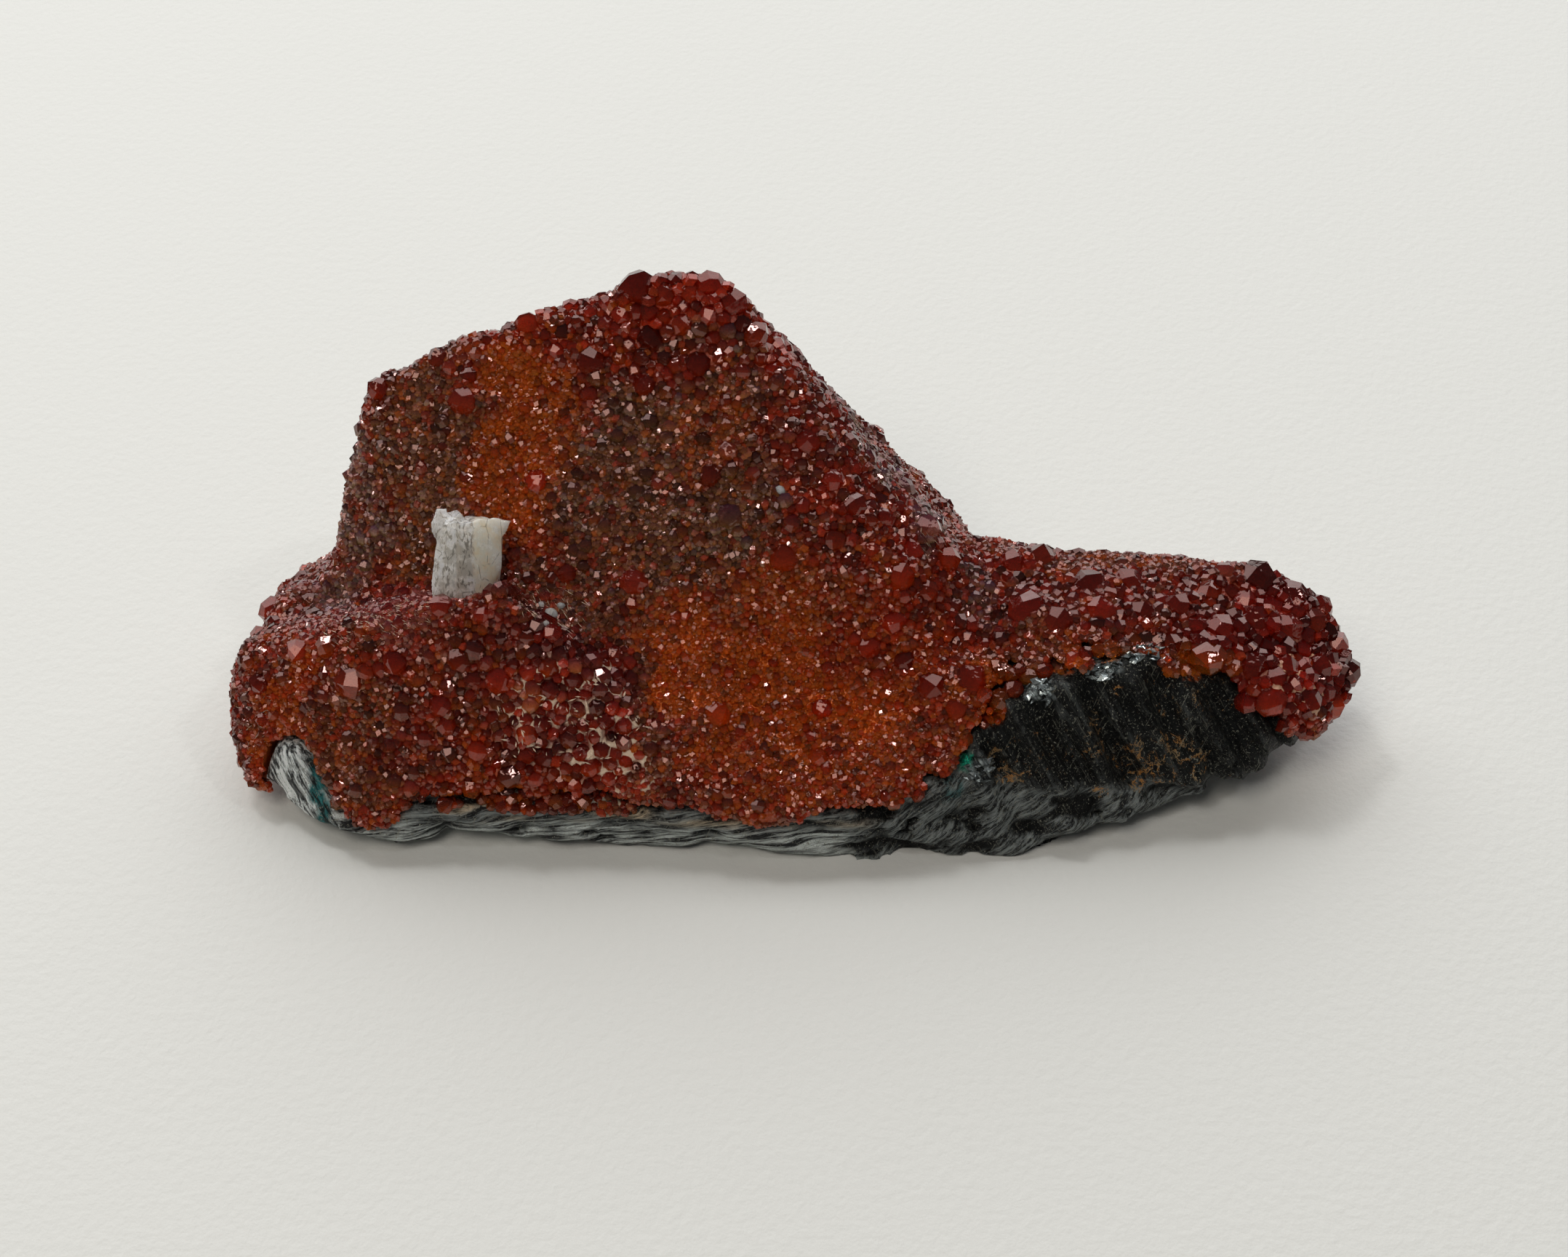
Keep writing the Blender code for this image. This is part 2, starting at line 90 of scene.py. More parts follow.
# The druse's usual mix, that of the back, and that of the pale spots down the spine
USUAL_MIX = {"wine": 0.45, "umber": 0.25, "plum": 0.12, "scarlet": 0.08, "amber": 0.10}
BACK_MIX = {"wine": 0.34, "umber": 0.28, "plum": 0.16, "amber": 0.14, "rose": 0.08}
SPINE_MIX = {"ash": 0.40, "rose": 0.34, "plum": 0.16, "wine": 0.10}
USUAL_WIDTH_MM = 0.40

# Patches of the druse, as seen from above: x and y of the middle and both radii in mm, the
# crystals' width in mm, how strong the patch is, and its mix of tints
PATCHES = [
    (-12.0, 6.6, 14.0, 1.8, 0.56, 0.90, {"wine": 0.62, "scarlet": 0.14, "plum": 0.10, "amber": 0.14}),
    (-4.8, 7.0, 4.4, 2.7, 0.70, 0.95, {"wine": 0.70, "scarlet": 0.24, "plum": 0.06}),
    (-19.4, 2.4, 2.8, 5.0, 0.38, 0.90, {"umber": 0.66, "wine": 0.14, "amber": 0.12, "ash": 0.08}),
    (-14.3, 2.6, 2.7, 4.2, 0.34, 0.92, {"amber": 0.78, "scarlet": 0.10, "wine": 0.04, "honey": 0.08}),
    (-6.2, 0.4, 6.4, 4.8, 0.39, 0.95, {"umber": 0.68, "ash": 0.10, "wine": 0.14, "amber": 0.08}),
    (-4.4, 2.2, 2.0, 1.7, 0.38, 0.60, {"amber": 0.44, "umber": 0.31, "wine": 0.25}),
    (2.4, 1.8, 4.6, 3.6, 0.52, 0.85, {"wine": 0.48, "plum": 0.12, "umber": 0.22, "scarlet": 0.18}),
    (7.2, -1.2, 3.2, 3.4, 0.58, 0.85, {"wine": 0.54, "plum": 0.14, "scarlet": 0.20, "umber": 0.12}),
    (-0.4, -7.2, 8.4, 3.9, 0.32, 0.96, {"amber": 0.68, "honey": 0.08, "scarlet": 0.14, "wine": 0.10}),
    (-1.0, -4.4, 4.4, 1.3, 0.36, 0.60, {"amber": 0.40, "scarlet": 0.14, "wine": 0.20, "umber": 0.26}),
    (0.5, -11.2, 7.4, 1.9, 0.36, 0.80, {"amber": 0.34, "wine": 0.40, "umber": 0.16, "scarlet": 0.10}),
    (5.8, -5.0, 3.4, 2.6, 0.48, 0.80, {"amber": 0.26, "wine": 0.44, "scarlet": 0.22, "umber": 0.08}),
    (-12.6, -4.6, 3.6, 2.0, 0.34, 0.90, {"umber": 0.60, "ash": 0.12, "wine": 0.28}),
    (-8.6, -8.2, 1.9, 2.6, 0.36, 0.85, {"umber": 0.44, "wine": 0.38, "plum": 0.18}),
    (-7.0, -11.0, 1.6, 2.4, 0.38, 0.80, {"umber": 0.40, "plum": 0.20, "wine": 0.40}),
    (-12.2, -9.0, 3.7, 3.6, 0.64, 0.92, {"wine": 0.26, "plum": 0.36, "blood": 0.38}),
    (-18.0, -8.6, 4.0, 3.2, 0.50, 0.90,
     {"wine": 0.38, "plum": 0.24, "scarlet": 0.12, "umber": 0.18, "amber": 0.08}),
    (-21.0, -4.2, 5.4, 1.7, 0.34, 0.90, {"rose": 0.42, "wine": 0.44, "plum": 0.14}),
    (-26.5, -6.8, 1.6, 3.0, 0.34, 0.92, {"amber": 0.54, "wine": 0.26, "scarlet": 0.14, "umber": 0.06}),
    (-23.4, -9.8, 2.5, 2.4, 0.36, 0.88, {"umber": 0.56, "wine": 0.22, "amber": 0.16, "plum": 0.06}),
    (-29.2, -6.0, 1.4, 3.6, 0.40, 0.85, {"plum": 0.40, "wine": 0.36, "umber": 0.24}),
    (-26.4, 1.4, 2.8, 3.0, 0.38, 0.80, {"umber": 0.40, "rose": 0.24, "wine": 0.36}),
    (-23.6, 1.8, 1.3, 5.2, 0.40, 0.90, {"rose": 0.40, "ash": 0.34, "plum": 0.26}),
    (-15.6, -11.5, 5.4, 1.1, 0.46, 0.75, {"scarlet": 0.40, "wine": 0.36, "amber": 0.24}),
    (14.6, -2.6, 5.6, 2.4, 0.54, 0.90, {"wine": 0.34, "plum": 0.30, "scarlet": 0.12, "umber": 0.24}),
    (16.6, 1.3, 7.0, 1.5, 0.34, 0.90, {"rose": 0.26, "plum": 0.24, "umber": 0.32, "amber": 0.18}),
    (14.6, -5.3, 4.6, 1.1, 0.36, 0.80, {"plum": 0.22, "umber": 0.32, "amber": 0.24, "wine": 0.22}),
    (10.4, -8.4, 1.6, 2.4, 0.32, 0.95, {"amber": 0.72, "honey": 0.14, "wine": 0.14}),
    (14.0, -6.7, 5.0, 0.6, 0.32, 0.90, {"amber": 0.62, "honey": 0.22, "wine": 0.16}),
    (25.8, -3.4, 5.0, 4.8, 0.74, 0.97, {"blood": 0.78, "wine": 0.16, "scarlet": 0.06}),
    (21.0, -6.2, 1.5, 1.4, 0.40, 0.97, {"honey": 0.30, "amber": 0.60, "scarlet": 0.10}),
    (3.0, 5.8, 1.5, 1.5, 0.42, 0.75, SPINE_MIX),
    (4.6, 3.9, 1.3, 1.3, 0.42, 0.75, SPINE_MIX),
    (6.0, 2.2, 1.2, 1.2, 0.42, 0.75, SPINE_MIX),
    (7.3, 0.6, 1.1, 1.1, 0.42, 0.75, SPINE_MIX),
    (8.8, -0.9, 1.1, 1.1, 0.42, 0.70, {"ash": 0.36, "rose": 0.34, "plum": 0.16, "wine": 0.14}),
    (10.1, -2.2, 1.0, 1.0, 0.42, 0.65, {"ash": 0.30, "rose": 0.34, "plum": 0.20, "wine": 0.16}),
]
PATCH_WANDER_MM = 2.2      # how far the patches' borders wander
PATCH_WANDER_LENGTH_MM = 2.4
TINT_SPREAD = 0.52         # how far a crystal goes from its patch's mean colour to its own tint
TINT_LIGHTNESS = (0.08, 0.42)     # mean and spread of the crystals' lightness, as a logarithm
SKIN_SHADE = 0.35          # how much darker the skin is between the larger crystals

# The garnets that stand out, as in the solids: their centre and the width across two faces, mm
MAIN_GARNETS = [
    (-8.12, 7.9, 21.51, 1.9), (-6.82, 7.47, 21.38, 1.3), (-7.42, 5.97, 19.74, 1.5),
    (-9.02, 6.96, 20.52, 1.1), (-7.81, 4.26, 18.01, 1.3), (-4.44, 7.77, 21.78, 1.6),
    (-3.24, 7.06, 21.18, 1.5), (-2.07, 5.96, 19.94, 1.4), (-4.43, 6.47, 20.93, 1.2),
    (-5.83, 6.17, 20.49, 1.2), (-0.52, -2.83, 12.21, 1.5), (-3.43, 1.36, 15.92, 1.1),
    (-4.33, 0.46, 15.11, 1.2), (0.66, 1.77, 16.2, 1.3), (1.96, 0.36, 14.74, 1.3),
    (3.12, -0.45, 13.76, 1.4), (4.62, -0.47, 12.78, 1.3), (7.03, 0.15, 11.51, 1.4),
    (6.13, -1.46, 11.37, 1.3), (8.02, -0.95, 10.29, 1.5), (5.53, -3.03, 11.01, 1.5),
    (6.93, -2.94, 9.96, 1.2), (9.22, -6.64, 6.87, 2), (7.18, -7.24, 7.03, 1.6),
    (8.35, -8.25, 6.46, 1.2), (3.96, -5.32, 8.23, 1.3), (5.16, -4.52, 9.24, 1.4),
    (5.78, -5.95, 7.81, 1.1), (12.4, -3.08, 8.41, 2.1), (13.88, -4.09, 8.71, 1.7),
    (15.77, -1.39, 8.56, 2), (17.76, -0.99, 8.55, 1.7), (16.17, -3.18, 8.65, 1.6),
    (11.78, 0.4, 8.57, 1.8), (13.26, 0.7, 8.52, 1.7), (18.45, -3.09, 8.39, 1.5),
    (20.36, -2.58, 8.26, 1.6), (22.17, -1.38, 8.16, 1.5), (24.86, -0.21, 8.03, 2.1),
    (26.64, -0.87, 7.42, 1.8), (23.17, 0.01, 8.16, 1.5), (22.44, -3.97, 7.85, 1.9),
    (24.46, -2.96, 7.66, 1.8), (26.12, -2.96, 7.12, 1.9), (27.72, -2.15, 6.71, 1.8),
    (29.02, -2.66, 5.64, 1.6), (29.69, -3.86, 4.72, 1.5), (27.73, -4.53, 5.65, 1.8),
    (25.82, -5.46, 6.38, 2), (24.04, -5.86, 7.11, 1.8), (25.04, -7.34, 6.2, 1.6),
    (27.02, -6.54, 5.44, 1.7), (28.58, -5.65, 4.13, 1.6), (21.73, -5.85, 7.78, 1.7),
    (28.29, -0.91, 6.61, 1.5), (-23.1, -7.01, 7.3, 1.8), (-20.71, -6.93, 8.68, 1.3),
    (-15.22, -8.01, 8.49, 1.5), (-17.31, -7.23, 9.22, 1.3), (-12.63, -7.84, 9.27, 1.1),
    (-16.44, -10.12, 5.41, 1.3), (-14.82, -10.91, 4.35, 1.4), (-18.32, -8.63, 7.19, 1.2),
    (-13.83, -9.72, 6.27, 1.2), (-26, -5.35, 7.91, 1.2), (-28.2, -5.74, 5.83, 1.3),
    (-24.41, -5.64, 8.53, 1.2), (1.47, -7.75, 5.96, 1.1), (1.27, -10.06, 4.69, 1.1),
    (-22, 5.46, 16.74, 1.2), (-18.81, 6.24, 18.17, 1.1), (-14.01, 7.2, 19.71, 1.2),
    (-19.46, 9.94, 11.43, 1.41), (-4.97, 4.71, 19.06, 1.34), (-4.01, -8.65, 6.47, 1.35),
    (-17.04, 10.35, 11.5, 1.26), (-5.57, 11.03, 14.89, 1.3), (-15.59, -4.91, 11.3, 1.45),
    (-10.27, 9.25, 17.93, 1.21), (-18.24, -5.29, 11.14, 1.24), (-19.5, 8.09, 14.89, 1.45),
    (-17.4, 4.45, 16.73, 1.68), (-10.71, 5.42, 18.64, 1.64), (-13.45, 0.85, 14.31, 1.2),
    (-0.26, 8.19, 16.77, 1.2), (5.81, 2.69, 12.06, 1.27), (-3.34, -1.19, 13.62, 1.4),
    (2.11, -2.14, 12.88, 1.24), (4.25, 7.88, 11.27, 1.38), (-29.54, -3.61, 3.43, 1.57),
    (-13.75, 10.2, 13.42, 1.42), (-28.4, 0.52, 5.1, 1.41), (-11.86, -2.83, 11.13, 1.12),
    (-28.79, -1.73, 5.17, 1.35), (-21.66, 7.01, 15.1, 1.29), (-8.38, -3.42, 11.02, 1.54),
]

# More of them, on the ledge above the broken face and at the quartz's foot, in the same way
HOLLOW_GARNETS = [
    (16.3, -4.9, 7.9, 1.1), (17.0, -4.6, 7.8, 1.3), (17.8, -4.7, 7.9, 1.1), (18.5, -4.5, 7.8, 1.3),
    (19.2, -4.6, 7.9, 1.1), (19.9, -4.8, 7.8, 1.2), (20.6, -4.9, 7.7, 1.1), (17.4, -4.0, 7.6, 1.3),
    (18.4, -3.8, 7.5, 1.4), (19.4, -4.0, 7.6, 1.2), (10.8, -7.7, 6.6, 1.1), (11.5, -7.3, 7.0, 1.0),
    (12.3, -6.8, 7.4, 1.0), (13.1, -6.5, 7.6, 0.9), (-15.2, -5.0, 12.0, 0.9), (-14.9, -4.6, 11.4, 1.0),
    (-14.6, -4.3, 10.9, 1.0), (-15.6, -5.3, 11.6, 0.8), (11.0, -6.3, 7.3, 0.9), (11.4, -6.6, 7.4, 0.8),
    (10.8, -5.9, 7.3, 1.0), (11.8, -6.5, 7.6, 0.8), (14.5, -6.3, 8.3, 0.8), (15.2, -6.1, 8.4, 0.8),
    (15.9, -5.9, 8.5, 0.8), (16.6, -5.8, 8.5, 0.9), (17.3, -5.5, 8.4, 0.8), (9.9, -7.8, 7.1, 0.8),
]

# Painted glow and shade: the way, down and to the front, towards which each crystal is painted lighter and
# more orange, as light passing through it from above would make it glow, and away from which it is painted
# darker; and how much each colour channel changes along it
PAINTED_GLOW_WAY = (0.0, -0.50, -0.86)
PAINTED_GLOW = (0.85, 1.15, 0.1)

NOISE_SEED = 5             # sets how the patches' borders wander

# Width of a main garnet's seat as a share of its own, how much open air in mm a place on the
# crust and one on the ore need, how far in mm the crystals keep from the quartz, and how high
# in mm the cream crumbs stand
MAIN_SEAT = 0.44
OPEN_AIR_MM = (1.3, 0.4)
QUARTZ_CLEAR_MM = 0.42
GROUT_RISE_MM = 0.15

# Rounds of setting crystals, the largest first: how many places are tried, the least local
# width that they need in mm, their width as shares of it, and how near their neighbours come
LARGE_ROUND = (14000, 0.50, 1.30, 1.85, 0.66)
ACCENT_ROUND = (1500, 0.0, 1.50, 2.30, 0.60)
MEDIUM_ROUND = (60000, 0.42, 0.90, 1.35, 0.66)
FINE_ROUND = (420000, 0.0, 0.70, 1.08, 0.64)

# Where pale flakes and hairs lie between the crystals: the middle and radii in mm, how many to
# try, their length and thickness in mm, their tint, and the way that they point
FLAKES = [
    ((-11.6, -9.4, 6.6), (4.6, 3.2, 4.2), 90, 0.24, 0.060, "cream", None),
    ((-21.0, -5.0, 9.6), (5.6, 1.3, 2.0), 700, 0.26, 0.020, "cream", (1.0, -0.6, 0.2)),
    ((-12.6, -5.0, 10.6), (2.6, 2.0, 1.6), 380, 0.34, 0.020, "cream", (0.6, -0.7, -0.5)),
    ((3.2, 5.6, 14.0), (2.0, 2.0, 2.0), 240, 0.44, 0.024, "ash", (0.7, -0.4, -0.6)),
    ((5.4, 2.9, 13.0), (2.0, 2.0, 2.0), 240, 0.44, 0.024, "ash", (0.7, -0.4, -0.6)),
    ((7.8, 0.0, 11.4), (2.0, 2.0, 2.0), 240, 0.44, 0.024, "ash", (0.7, -0.4, -0.6)),
    ((-28.6, -7.0, 5.0), (1.2, 3.0, 3.0), 200, 0.30, 0.022, "ash", (0.2, -0.5, 0.8)),
]

# Where crumbly mineral fills the gaps between the crystals: the middle and radii in mm, its
# tint, and how much farther apart the crystals stand
GROUT = [
    ((-11.6, -8.8, 6.8), (4.2, 3.2, 3.8), "cream", 1.26),
    ((-9.2, -10.2, 4.6), (2.9, 2.6, 2.8), "cream", 1.26),
    ((26.6, -6.0, 5.0), (3.8, 3.2, 3.0), "clay", 1.10),
]

# Where grains grow on the ore, just outside the solid crust: the middle and radii in mm
COVERED = [
    ((18.4, -4.1, 7.3), (3.2, 1.8, 2.2)),
    ((20.4, -5.7, 7.8), (1.5, 1.0, 1.0)),
    ((13.7, -6.1, 7.6), (2.0, 0.6, 0.9)),
    ((10.4, -8.0, 6.0), (0.8, 0.6, 1.2)),
    ((-11.5, -11.6, 3.1), (8.5, 0.9, 0.45)),
]

# Spots on the ore: the middle and radius in mm, how strong, and what they are
ORE_SPOTS = [
    ((15.9, -6.6, 8.0), (1.3, 0.5, 0.5), 1.0, "steel"),
    ((18.5, -5.9, 8.2), (1.2, 0.4, 0.5), 1.0, "steel"),
    ((13.0, -7.6, 7.2), (1.0, 0.4, 0.5), 0.8, "steel"),
    ((9.6, -10.5, 4.3), (0.6, 0.8, 0.8), 0.8, "steel"),
    ((8.8, -10.1, 4.6), (0.5, 0.6, 0.7), 1.0, "green"),
    ((18.4, -4.1, 7.3), (3.2, 1.8, 2.2), 1.0, "rust"),
    ((20.6, -5.8, 7.8), (1.5, 1.0, 1.0), 1.0, "rust"),
    ((13.7, -6.1, 7.6), (2.0, 0.6, 0.9), 1.0, "rust"),
    ((10.3, -8.1, 6.0), (0.8, 0.6, 1.2), 1.0, "rust"),
    ((11.2, -10.2, 3.5), (1.2, 0.7, 0.6), 0.72, "tan"),
    ((10.4, -9.7, 4.6), (0.4, 0.7, 1.0), 0.75, "tan"),
    ((17.0, -7.4, 7.3), (0.4, 0.6, 0.8), 0.55, "tan"),
    ((16.2, -10.4, 2.8), (0.5, 0.6, 0.5), 0.7, "tan"),
    ((18.3, -10.1, 2.6), (0.7, 0.6, 0.5), 0.75, "tan"),
    ((19.6, -9.4, 4.0), (3.4, 1.6, 1.9), 0.54, "tan"),
    ((15.6, -8.9, 5.4), (0.7, 1.6, 1.9), 0.50, "tan"),
    ((12.6, -9.6, 4.4), (2.4, 1.4, 1.9), 0.36, "tan"),
    ((21.0, -7.2, 6.6), (3.4, 1.8, 1.6), 0.34, "tan"),
    ((-25.0, -10.5, 2.3), (0.45, 1.0, 1.2), 1.0, "teal"),
    ((-25.2, -9.7, 3.4), (0.4, 0.7, 0.9), 1.0, "teal"),
    ((-24.6, -11.2, 1.3), (0.5, 0.8, 1.2), 1.0, "teal"),
    ((8.2, -11.0, 3.4), (0.7, 0.7, 0.6), 0.7, "teal"),
]
# Bright slivers on the ledge: the middle and reach in mm, how many, and their length in mm
LEDGE_FLAKES = [
    ((15.9, -6.6, 8.0), (1.3, 0.7, 0.6), 34, 0.60),
    ((18.5, -5.9, 8.2), (1.2, 0.6, 0.6), 26, 0.60),
    ((13.0, -7.6, 7.2), (1.1, 0.6, 0.6), 20, 0.50),
    ((9.6, -10.5, 4.3), (0.7, 0.8, 0.8), 16, 0.45),
]
ORE_LOOKS = {
    "black": (0.006, 0.007, 0.007),
    # painted highlight: the lighter colour painted on the crests of the broken face's ridges
    "crest_highlight": (0.045, 0.049, 0.048),
    "grey": (0.20, 0.22, 0.215),
    "silver": (0.70, 0.74, 0.73),
    "pale": (0.50, 0.54, 0.52),
    "steel": (0.62, 0.70, 0.71),
    "straw": (0.52, 0.41, 0.27),
    "teal": (0.022, 0.15, 0.155),
    "green": (0.02, 0.50, 0.32),
    "rust": (0.70, 0.14, 0.012),
}
BACK_HOLLOW = ((-26.0, 6.6, 4.6), (2.6, 2.2, 1.6))     # where the ore stands lower at the back

# How far in mm each kind of relief goes out from the solid ore, or into it
RELIEF_MM = {
    "swell": 0.12, "lumps": 0.08, "strands": 0.16, "ribs": 0.36, "chip": 0.07, "sheets": 0.14,
    "pits": -0.45, "hollow": -1.2,
}
UPRIGHT = (Vector((1, 0, 0)), Vector((0, 1, 0)), Vector((0, 0, 1)))
FIBRE = Vector((0.5, -0.5, -0.7)).normalized()     # the way that the ore's fibres run
ACROSS = FIBRE.cross(Vector((0.0, -0.8, 0.6))).normalized()
THIRD = FIBRE.cross(ACROSS)
QUARTZ_SEED, LEDGE_SEED = 3, 11
SCRATCH_WAYS = (Vector((0.45, 0.40, 0.80)), Vector((0.88, 0.0, -0.47)), Vector((0.0, -0.90, 0.43)))
LAYER_WAYS = (Vector((0.99, 0.0, 0.14)), Vector((0.0, 1.0, 0.0)), Vector((-0.14, 0.0, 0.99)))
SHELF_WAYS = (Vector((0.80, -0.10, 0.60)), Vector((0.0, 1.0, 0.0)), Vector((-0.60, 0.0, 0.80)))


# Pale grains on the druse: their middle and width in mm, and where the quartz's blade meets its
# block, from left to right
QUARTZ_GRAINS = [
    (-12.7, -4.6, 9.9, 0.6), (-12.2, -4.2, 10.1, 0.4), (-12.8, -6.3, 10.9, 0.35),
    (-13.2, -4.3, 10.3, 0.3), (-0.7, -0.4, 14.8, 0.5), (-15.0, -4.6, 11.8, 0.3),
]
BLADE_EDGE_MM = (-16.7, -16.5)

# The stage's lamps: their place, their width and height in m, their power in W and colour
WHITE = (1.0, 1.0, 1.0)
LAMPS = [
    ("window", (-0.05, 0.46, 0.38), (1.3, 0.6), 4.6, WHITE),
    ("fill", (-0.18, -0.22, 0.48), (0.26, 0.26), 0.78, (1.0, 0.93, 0.84)),
    ("bulb", (-0.20, 0.25, 0.50), (0.08, 0.08), 0.40, WHITE),
    ("spark", (0.26, -0.05, 0.45), (0.05, 0.05), 0.14, WHITE),
]
ROOM_COLOUR, ROOM_STRENGTH = (0.97, 0.98, 1.0, 1.0), 0.07
CAMERA_PLACE = (-0.00053, -0.10973, 0.11395)


class DruseProps(bpy.types.PropertyGroup):
    """Sizes of the garnet druse."""

    grid: FloatProperty(
        name="Skin grid", description="Size of the skin's faces under the crystals",
        default=0.00032, unit="LENGTH")
    smoothing: IntProperty(
        name="Skin smoothing", description="Passes that level the skin under the garnets", default=50)
    seed: IntProperty(name="Seed", description="Draws the crystals' places and turns", default=5)


class OreProps(bpy.types.PropertyGroup):
    """Sizes of the ore and the quartz."""

    grid: FloatProperty(
        name="Ore grid", description="Size of the faces on the ore's surface",
        default=0.00028, unit="LENGTH")
    quartz_grid: FloatProperty(
        name="Quartz grid", description="Size of the faces on the quartz crystal",
        default=0.00010, unit="LENGTH")


class StageProps(bpy.types.PropertyGroup):
    """The floor, the light and the camera."""

    floor_colour: FloatVectorProperty(
        name="Floor colour", description="Colour of the plain pale floor",
        subtype="COLOR", size=3, default=(0.83, 0.835, 0.80))
    lens: FloatProperty(name="Lens", description="Focal length in millimetres", default=65.0)
    elevation: FloatProperty(
        name="Elevation", description="Angle of the view above the horizon",
        subtype="ANGLE", default=math.radians(45.0))


def activate(piece):
    """Makes the piece the only one selected, and the active one."""
    bpy.ops.object.select_all(action="DESELECT")
    piece.select_set(True)
    bpy.context.view_layer.objects.active = piece


def apply_modifiers(piece):
    activate(piece)
    for modifier in list(piece.modifiers):
        bpy.ops.object.modifier_apply(modifier=modifier.name)


def linked(name, mesh):
    piece = bpy.data.objects.new(name, mesh)
    bpy.context.scene.collection.objects.link(piece)
    return piece


def copy_node(name, node):
    """A piece with its own copy of a CAD node's mesh, its doubles merged."""
    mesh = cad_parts[node].data.copy()
    mesh.materials.clear()
    piece = linked(name, mesh)
    activate(piece)
    bpy.ops.object.mode_set(mode="EDIT")
    bpy.ops.mesh.select_all(action="SELECT")
    bpy.ops.mesh.remove_doubles(threshold=0.00001)
    bpy.ops.object.mode_set(mode="OBJECT")
    return piece


def remesh(piece, grid):
    """Gives the piece an even grid of faces."""
    modifier = piece.modifiers.new("grid", "REMESH")
    modifier.mode = "VOXEL"
    modifier.voxel_size = grid
    apply_modifiers(piece)


def tree_of(mesh):
    """A tree for rays and nearest points on a mesh."""
    places = [vertex.co.copy() for vertex in mesh.vertices]
    faces = [tuple(face.vertices) for face in mesh.polygons]
    return BVHTree.FromPolygons(places, faces)


def read_array(items, field, width=3):
    """A field of a mesh's vertices or faces, as an array."""
    flat = np.empty(len(items) * width, np.float32)
    items.foreach_get(field, flat)
    return flat.reshape(-1, width).astype(float)


def paint(mesh, name, colours):
    """Stores one colour per vertex under a name."""
    attribute = mesh.attributes.new(name, "FLOAT_COLOR", "POINT")
    attribute.data.foreach_set("color", np.ascontiguousarray(colours, np.float32).ravel())


def with_alpha(colours, alpha=1.0):
    return np.concatenate([colours, np.broadcast_to(alpha, (len(colours), 1))], axis=1)


def ease(low, high, value):
    """0 below low, 1 above high, and smooth between."""
    share = np.clip((value - low) / (high - low), 0.0, 1.0)
    return share * share * (3.0 - 2.0 * share)


def noise_at(points, seed=0.0):
    """Smooth noise from about -1 to 1 at each point."""
    return np.array([noise.noise(Vector(point) + Vector((seed, 0.0, 0.0))) for point in points])


def noise_vectors(points):
    """Smooth noise in each direction at each point. Unseeded, it would differ from run to run."""
    noise.seed_set(NOISE_SEED)
    return np.array([noise.noise_vector(Vector(point)) for point in points])


def shares(mix):
    """A mix's shares in the order of TINT_NAMES."""
    return np.array([mix.get(name, 0.0) for name in TINT_NAMES])


def druse_fields(places):
    """The crystals' width in m and the shares of the tints, at each place on the druse."""
    points = places / MM
    shift = noise_vectors(points / PATCH_WANDER_LENGTH_MM) * PATCH_WANDER_MM
    x, y = points[:, 0] + shift[:, 0], points[:, 1] + shift[:, 1]
    back = ease(6.5, 9.5, points[:, 1])[:, None]
    mixes = shares(USUAL_MIX) * (1.0 - back) + shares(BACK_MIX) * back
    widths = np.full(len(points), USUAL_WIDTH_MM)
    for middle_x, middle_y, reach_x, reach_y, width, strength, mix in PATCHES:
        far = np.hypot((x - middle_x) / reach_x, (y - middle_y) / reach_y)
        weight = strength * (1.0 - ease(0.65, 1.35, far))
        mixes += (shares(mix) - mixes) * weight[:, None]
        widths += (width - widths) * weight
    return widths * MM, mixes


def grout_cover(places, row):
    """How strongly one row of the grout table covers each place, and where its crumbs lie."""
    middle, reach = row[:2]
    cover = 1.0 - ease(0.7, 1.05, np.linalg.norm((places / MM - middle) / reach, axis=1))
    crumbs = ease(-0.24, 0.02, noise_at(places / MM / 0.75, 8.0)) * cover
    return cover, crumbs


def mean_tints(mixes):
    return mixes @ np.array([TINTS[name] for name in TINT_NAMES]) / mixes.sum(1, keepdims=True)


def kept_below_white(colours):
    """Colours scaled down, hue kept, where a channel is past 1."""
    return colours / np.maximum(colours.max(axis=-1, keepdims=True), 1.0)


def drawn_tints(mixes, chance):
    """A tint for each crystal: part its patch's mean, part its own, lighter or darker."""
    pick = (np.cumsum(mixes, axis=1) < chance.random((len(mixes), 1)) * mixes.sum(1, keepdims=True)).sum(1)
    own = np.array([TINTS[name] for name in TINT_NAMES])[np.minimum(pick, len(TINT_NAMES) - 1)]
    tints = mean_tints(mixes) * (1.0 - TINT_SPREAD) + own * TINT_SPREAD
    return kept_below_white(tints * np.exp(chance.normal(*TINT_LIGHTNESS, (len(mixes), 1))))


def random_turns(count, chance):
    """Rotation matrices drawn evenly over all turns."""
    turn = chance.normal(size=(count, 4))
    w, x, y, z = (turn / np.linalg.norm(turn, axis=1)[:, None]).T
    rows = [
        [1 - 2 * (y * y + z * z), 2 * (x * y - w * z), 2 * (x * z + w * y)],
        [2 * (x * y + w * z), 1 - 2 * (x * x + z * z), 2 * (y * z - w * x)],
        [2 * (x * z - w * y), 2 * (y * z + w * x), 1 - 2 * (x * x + y * y)],
    ]
    return np.array(rows).transpose(2, 0, 1)


def turns_along(ways, chance):
    """Rotation matrices that take the X axis to each of the given ways."""
    first = ways / np.linalg.norm(ways, axis=1)[:, None]
    second = np.cross(first, chance.normal(size=first.shape))
    second /= np.linalg.norm(second, axis=1)[:, None]
    return np.stack([first, second, np.cross(first, second)], axis=2)


def shape_of(seed):
    """The seed crystal's corners, scaled to 1 across two faces, and its faces. The seed goes."""
    mesh = seed.data
    corners = read_array(mesh.vertices, "co")
    across = 2.0 * min(abs(face.normal.dot(face.center)) for face in mesh.polygons)
    faces = np.array([tuple(face.vertices) for face in mesh.polygons])
    bpy.data.objects.remove(seed)
    return corners / across, faces


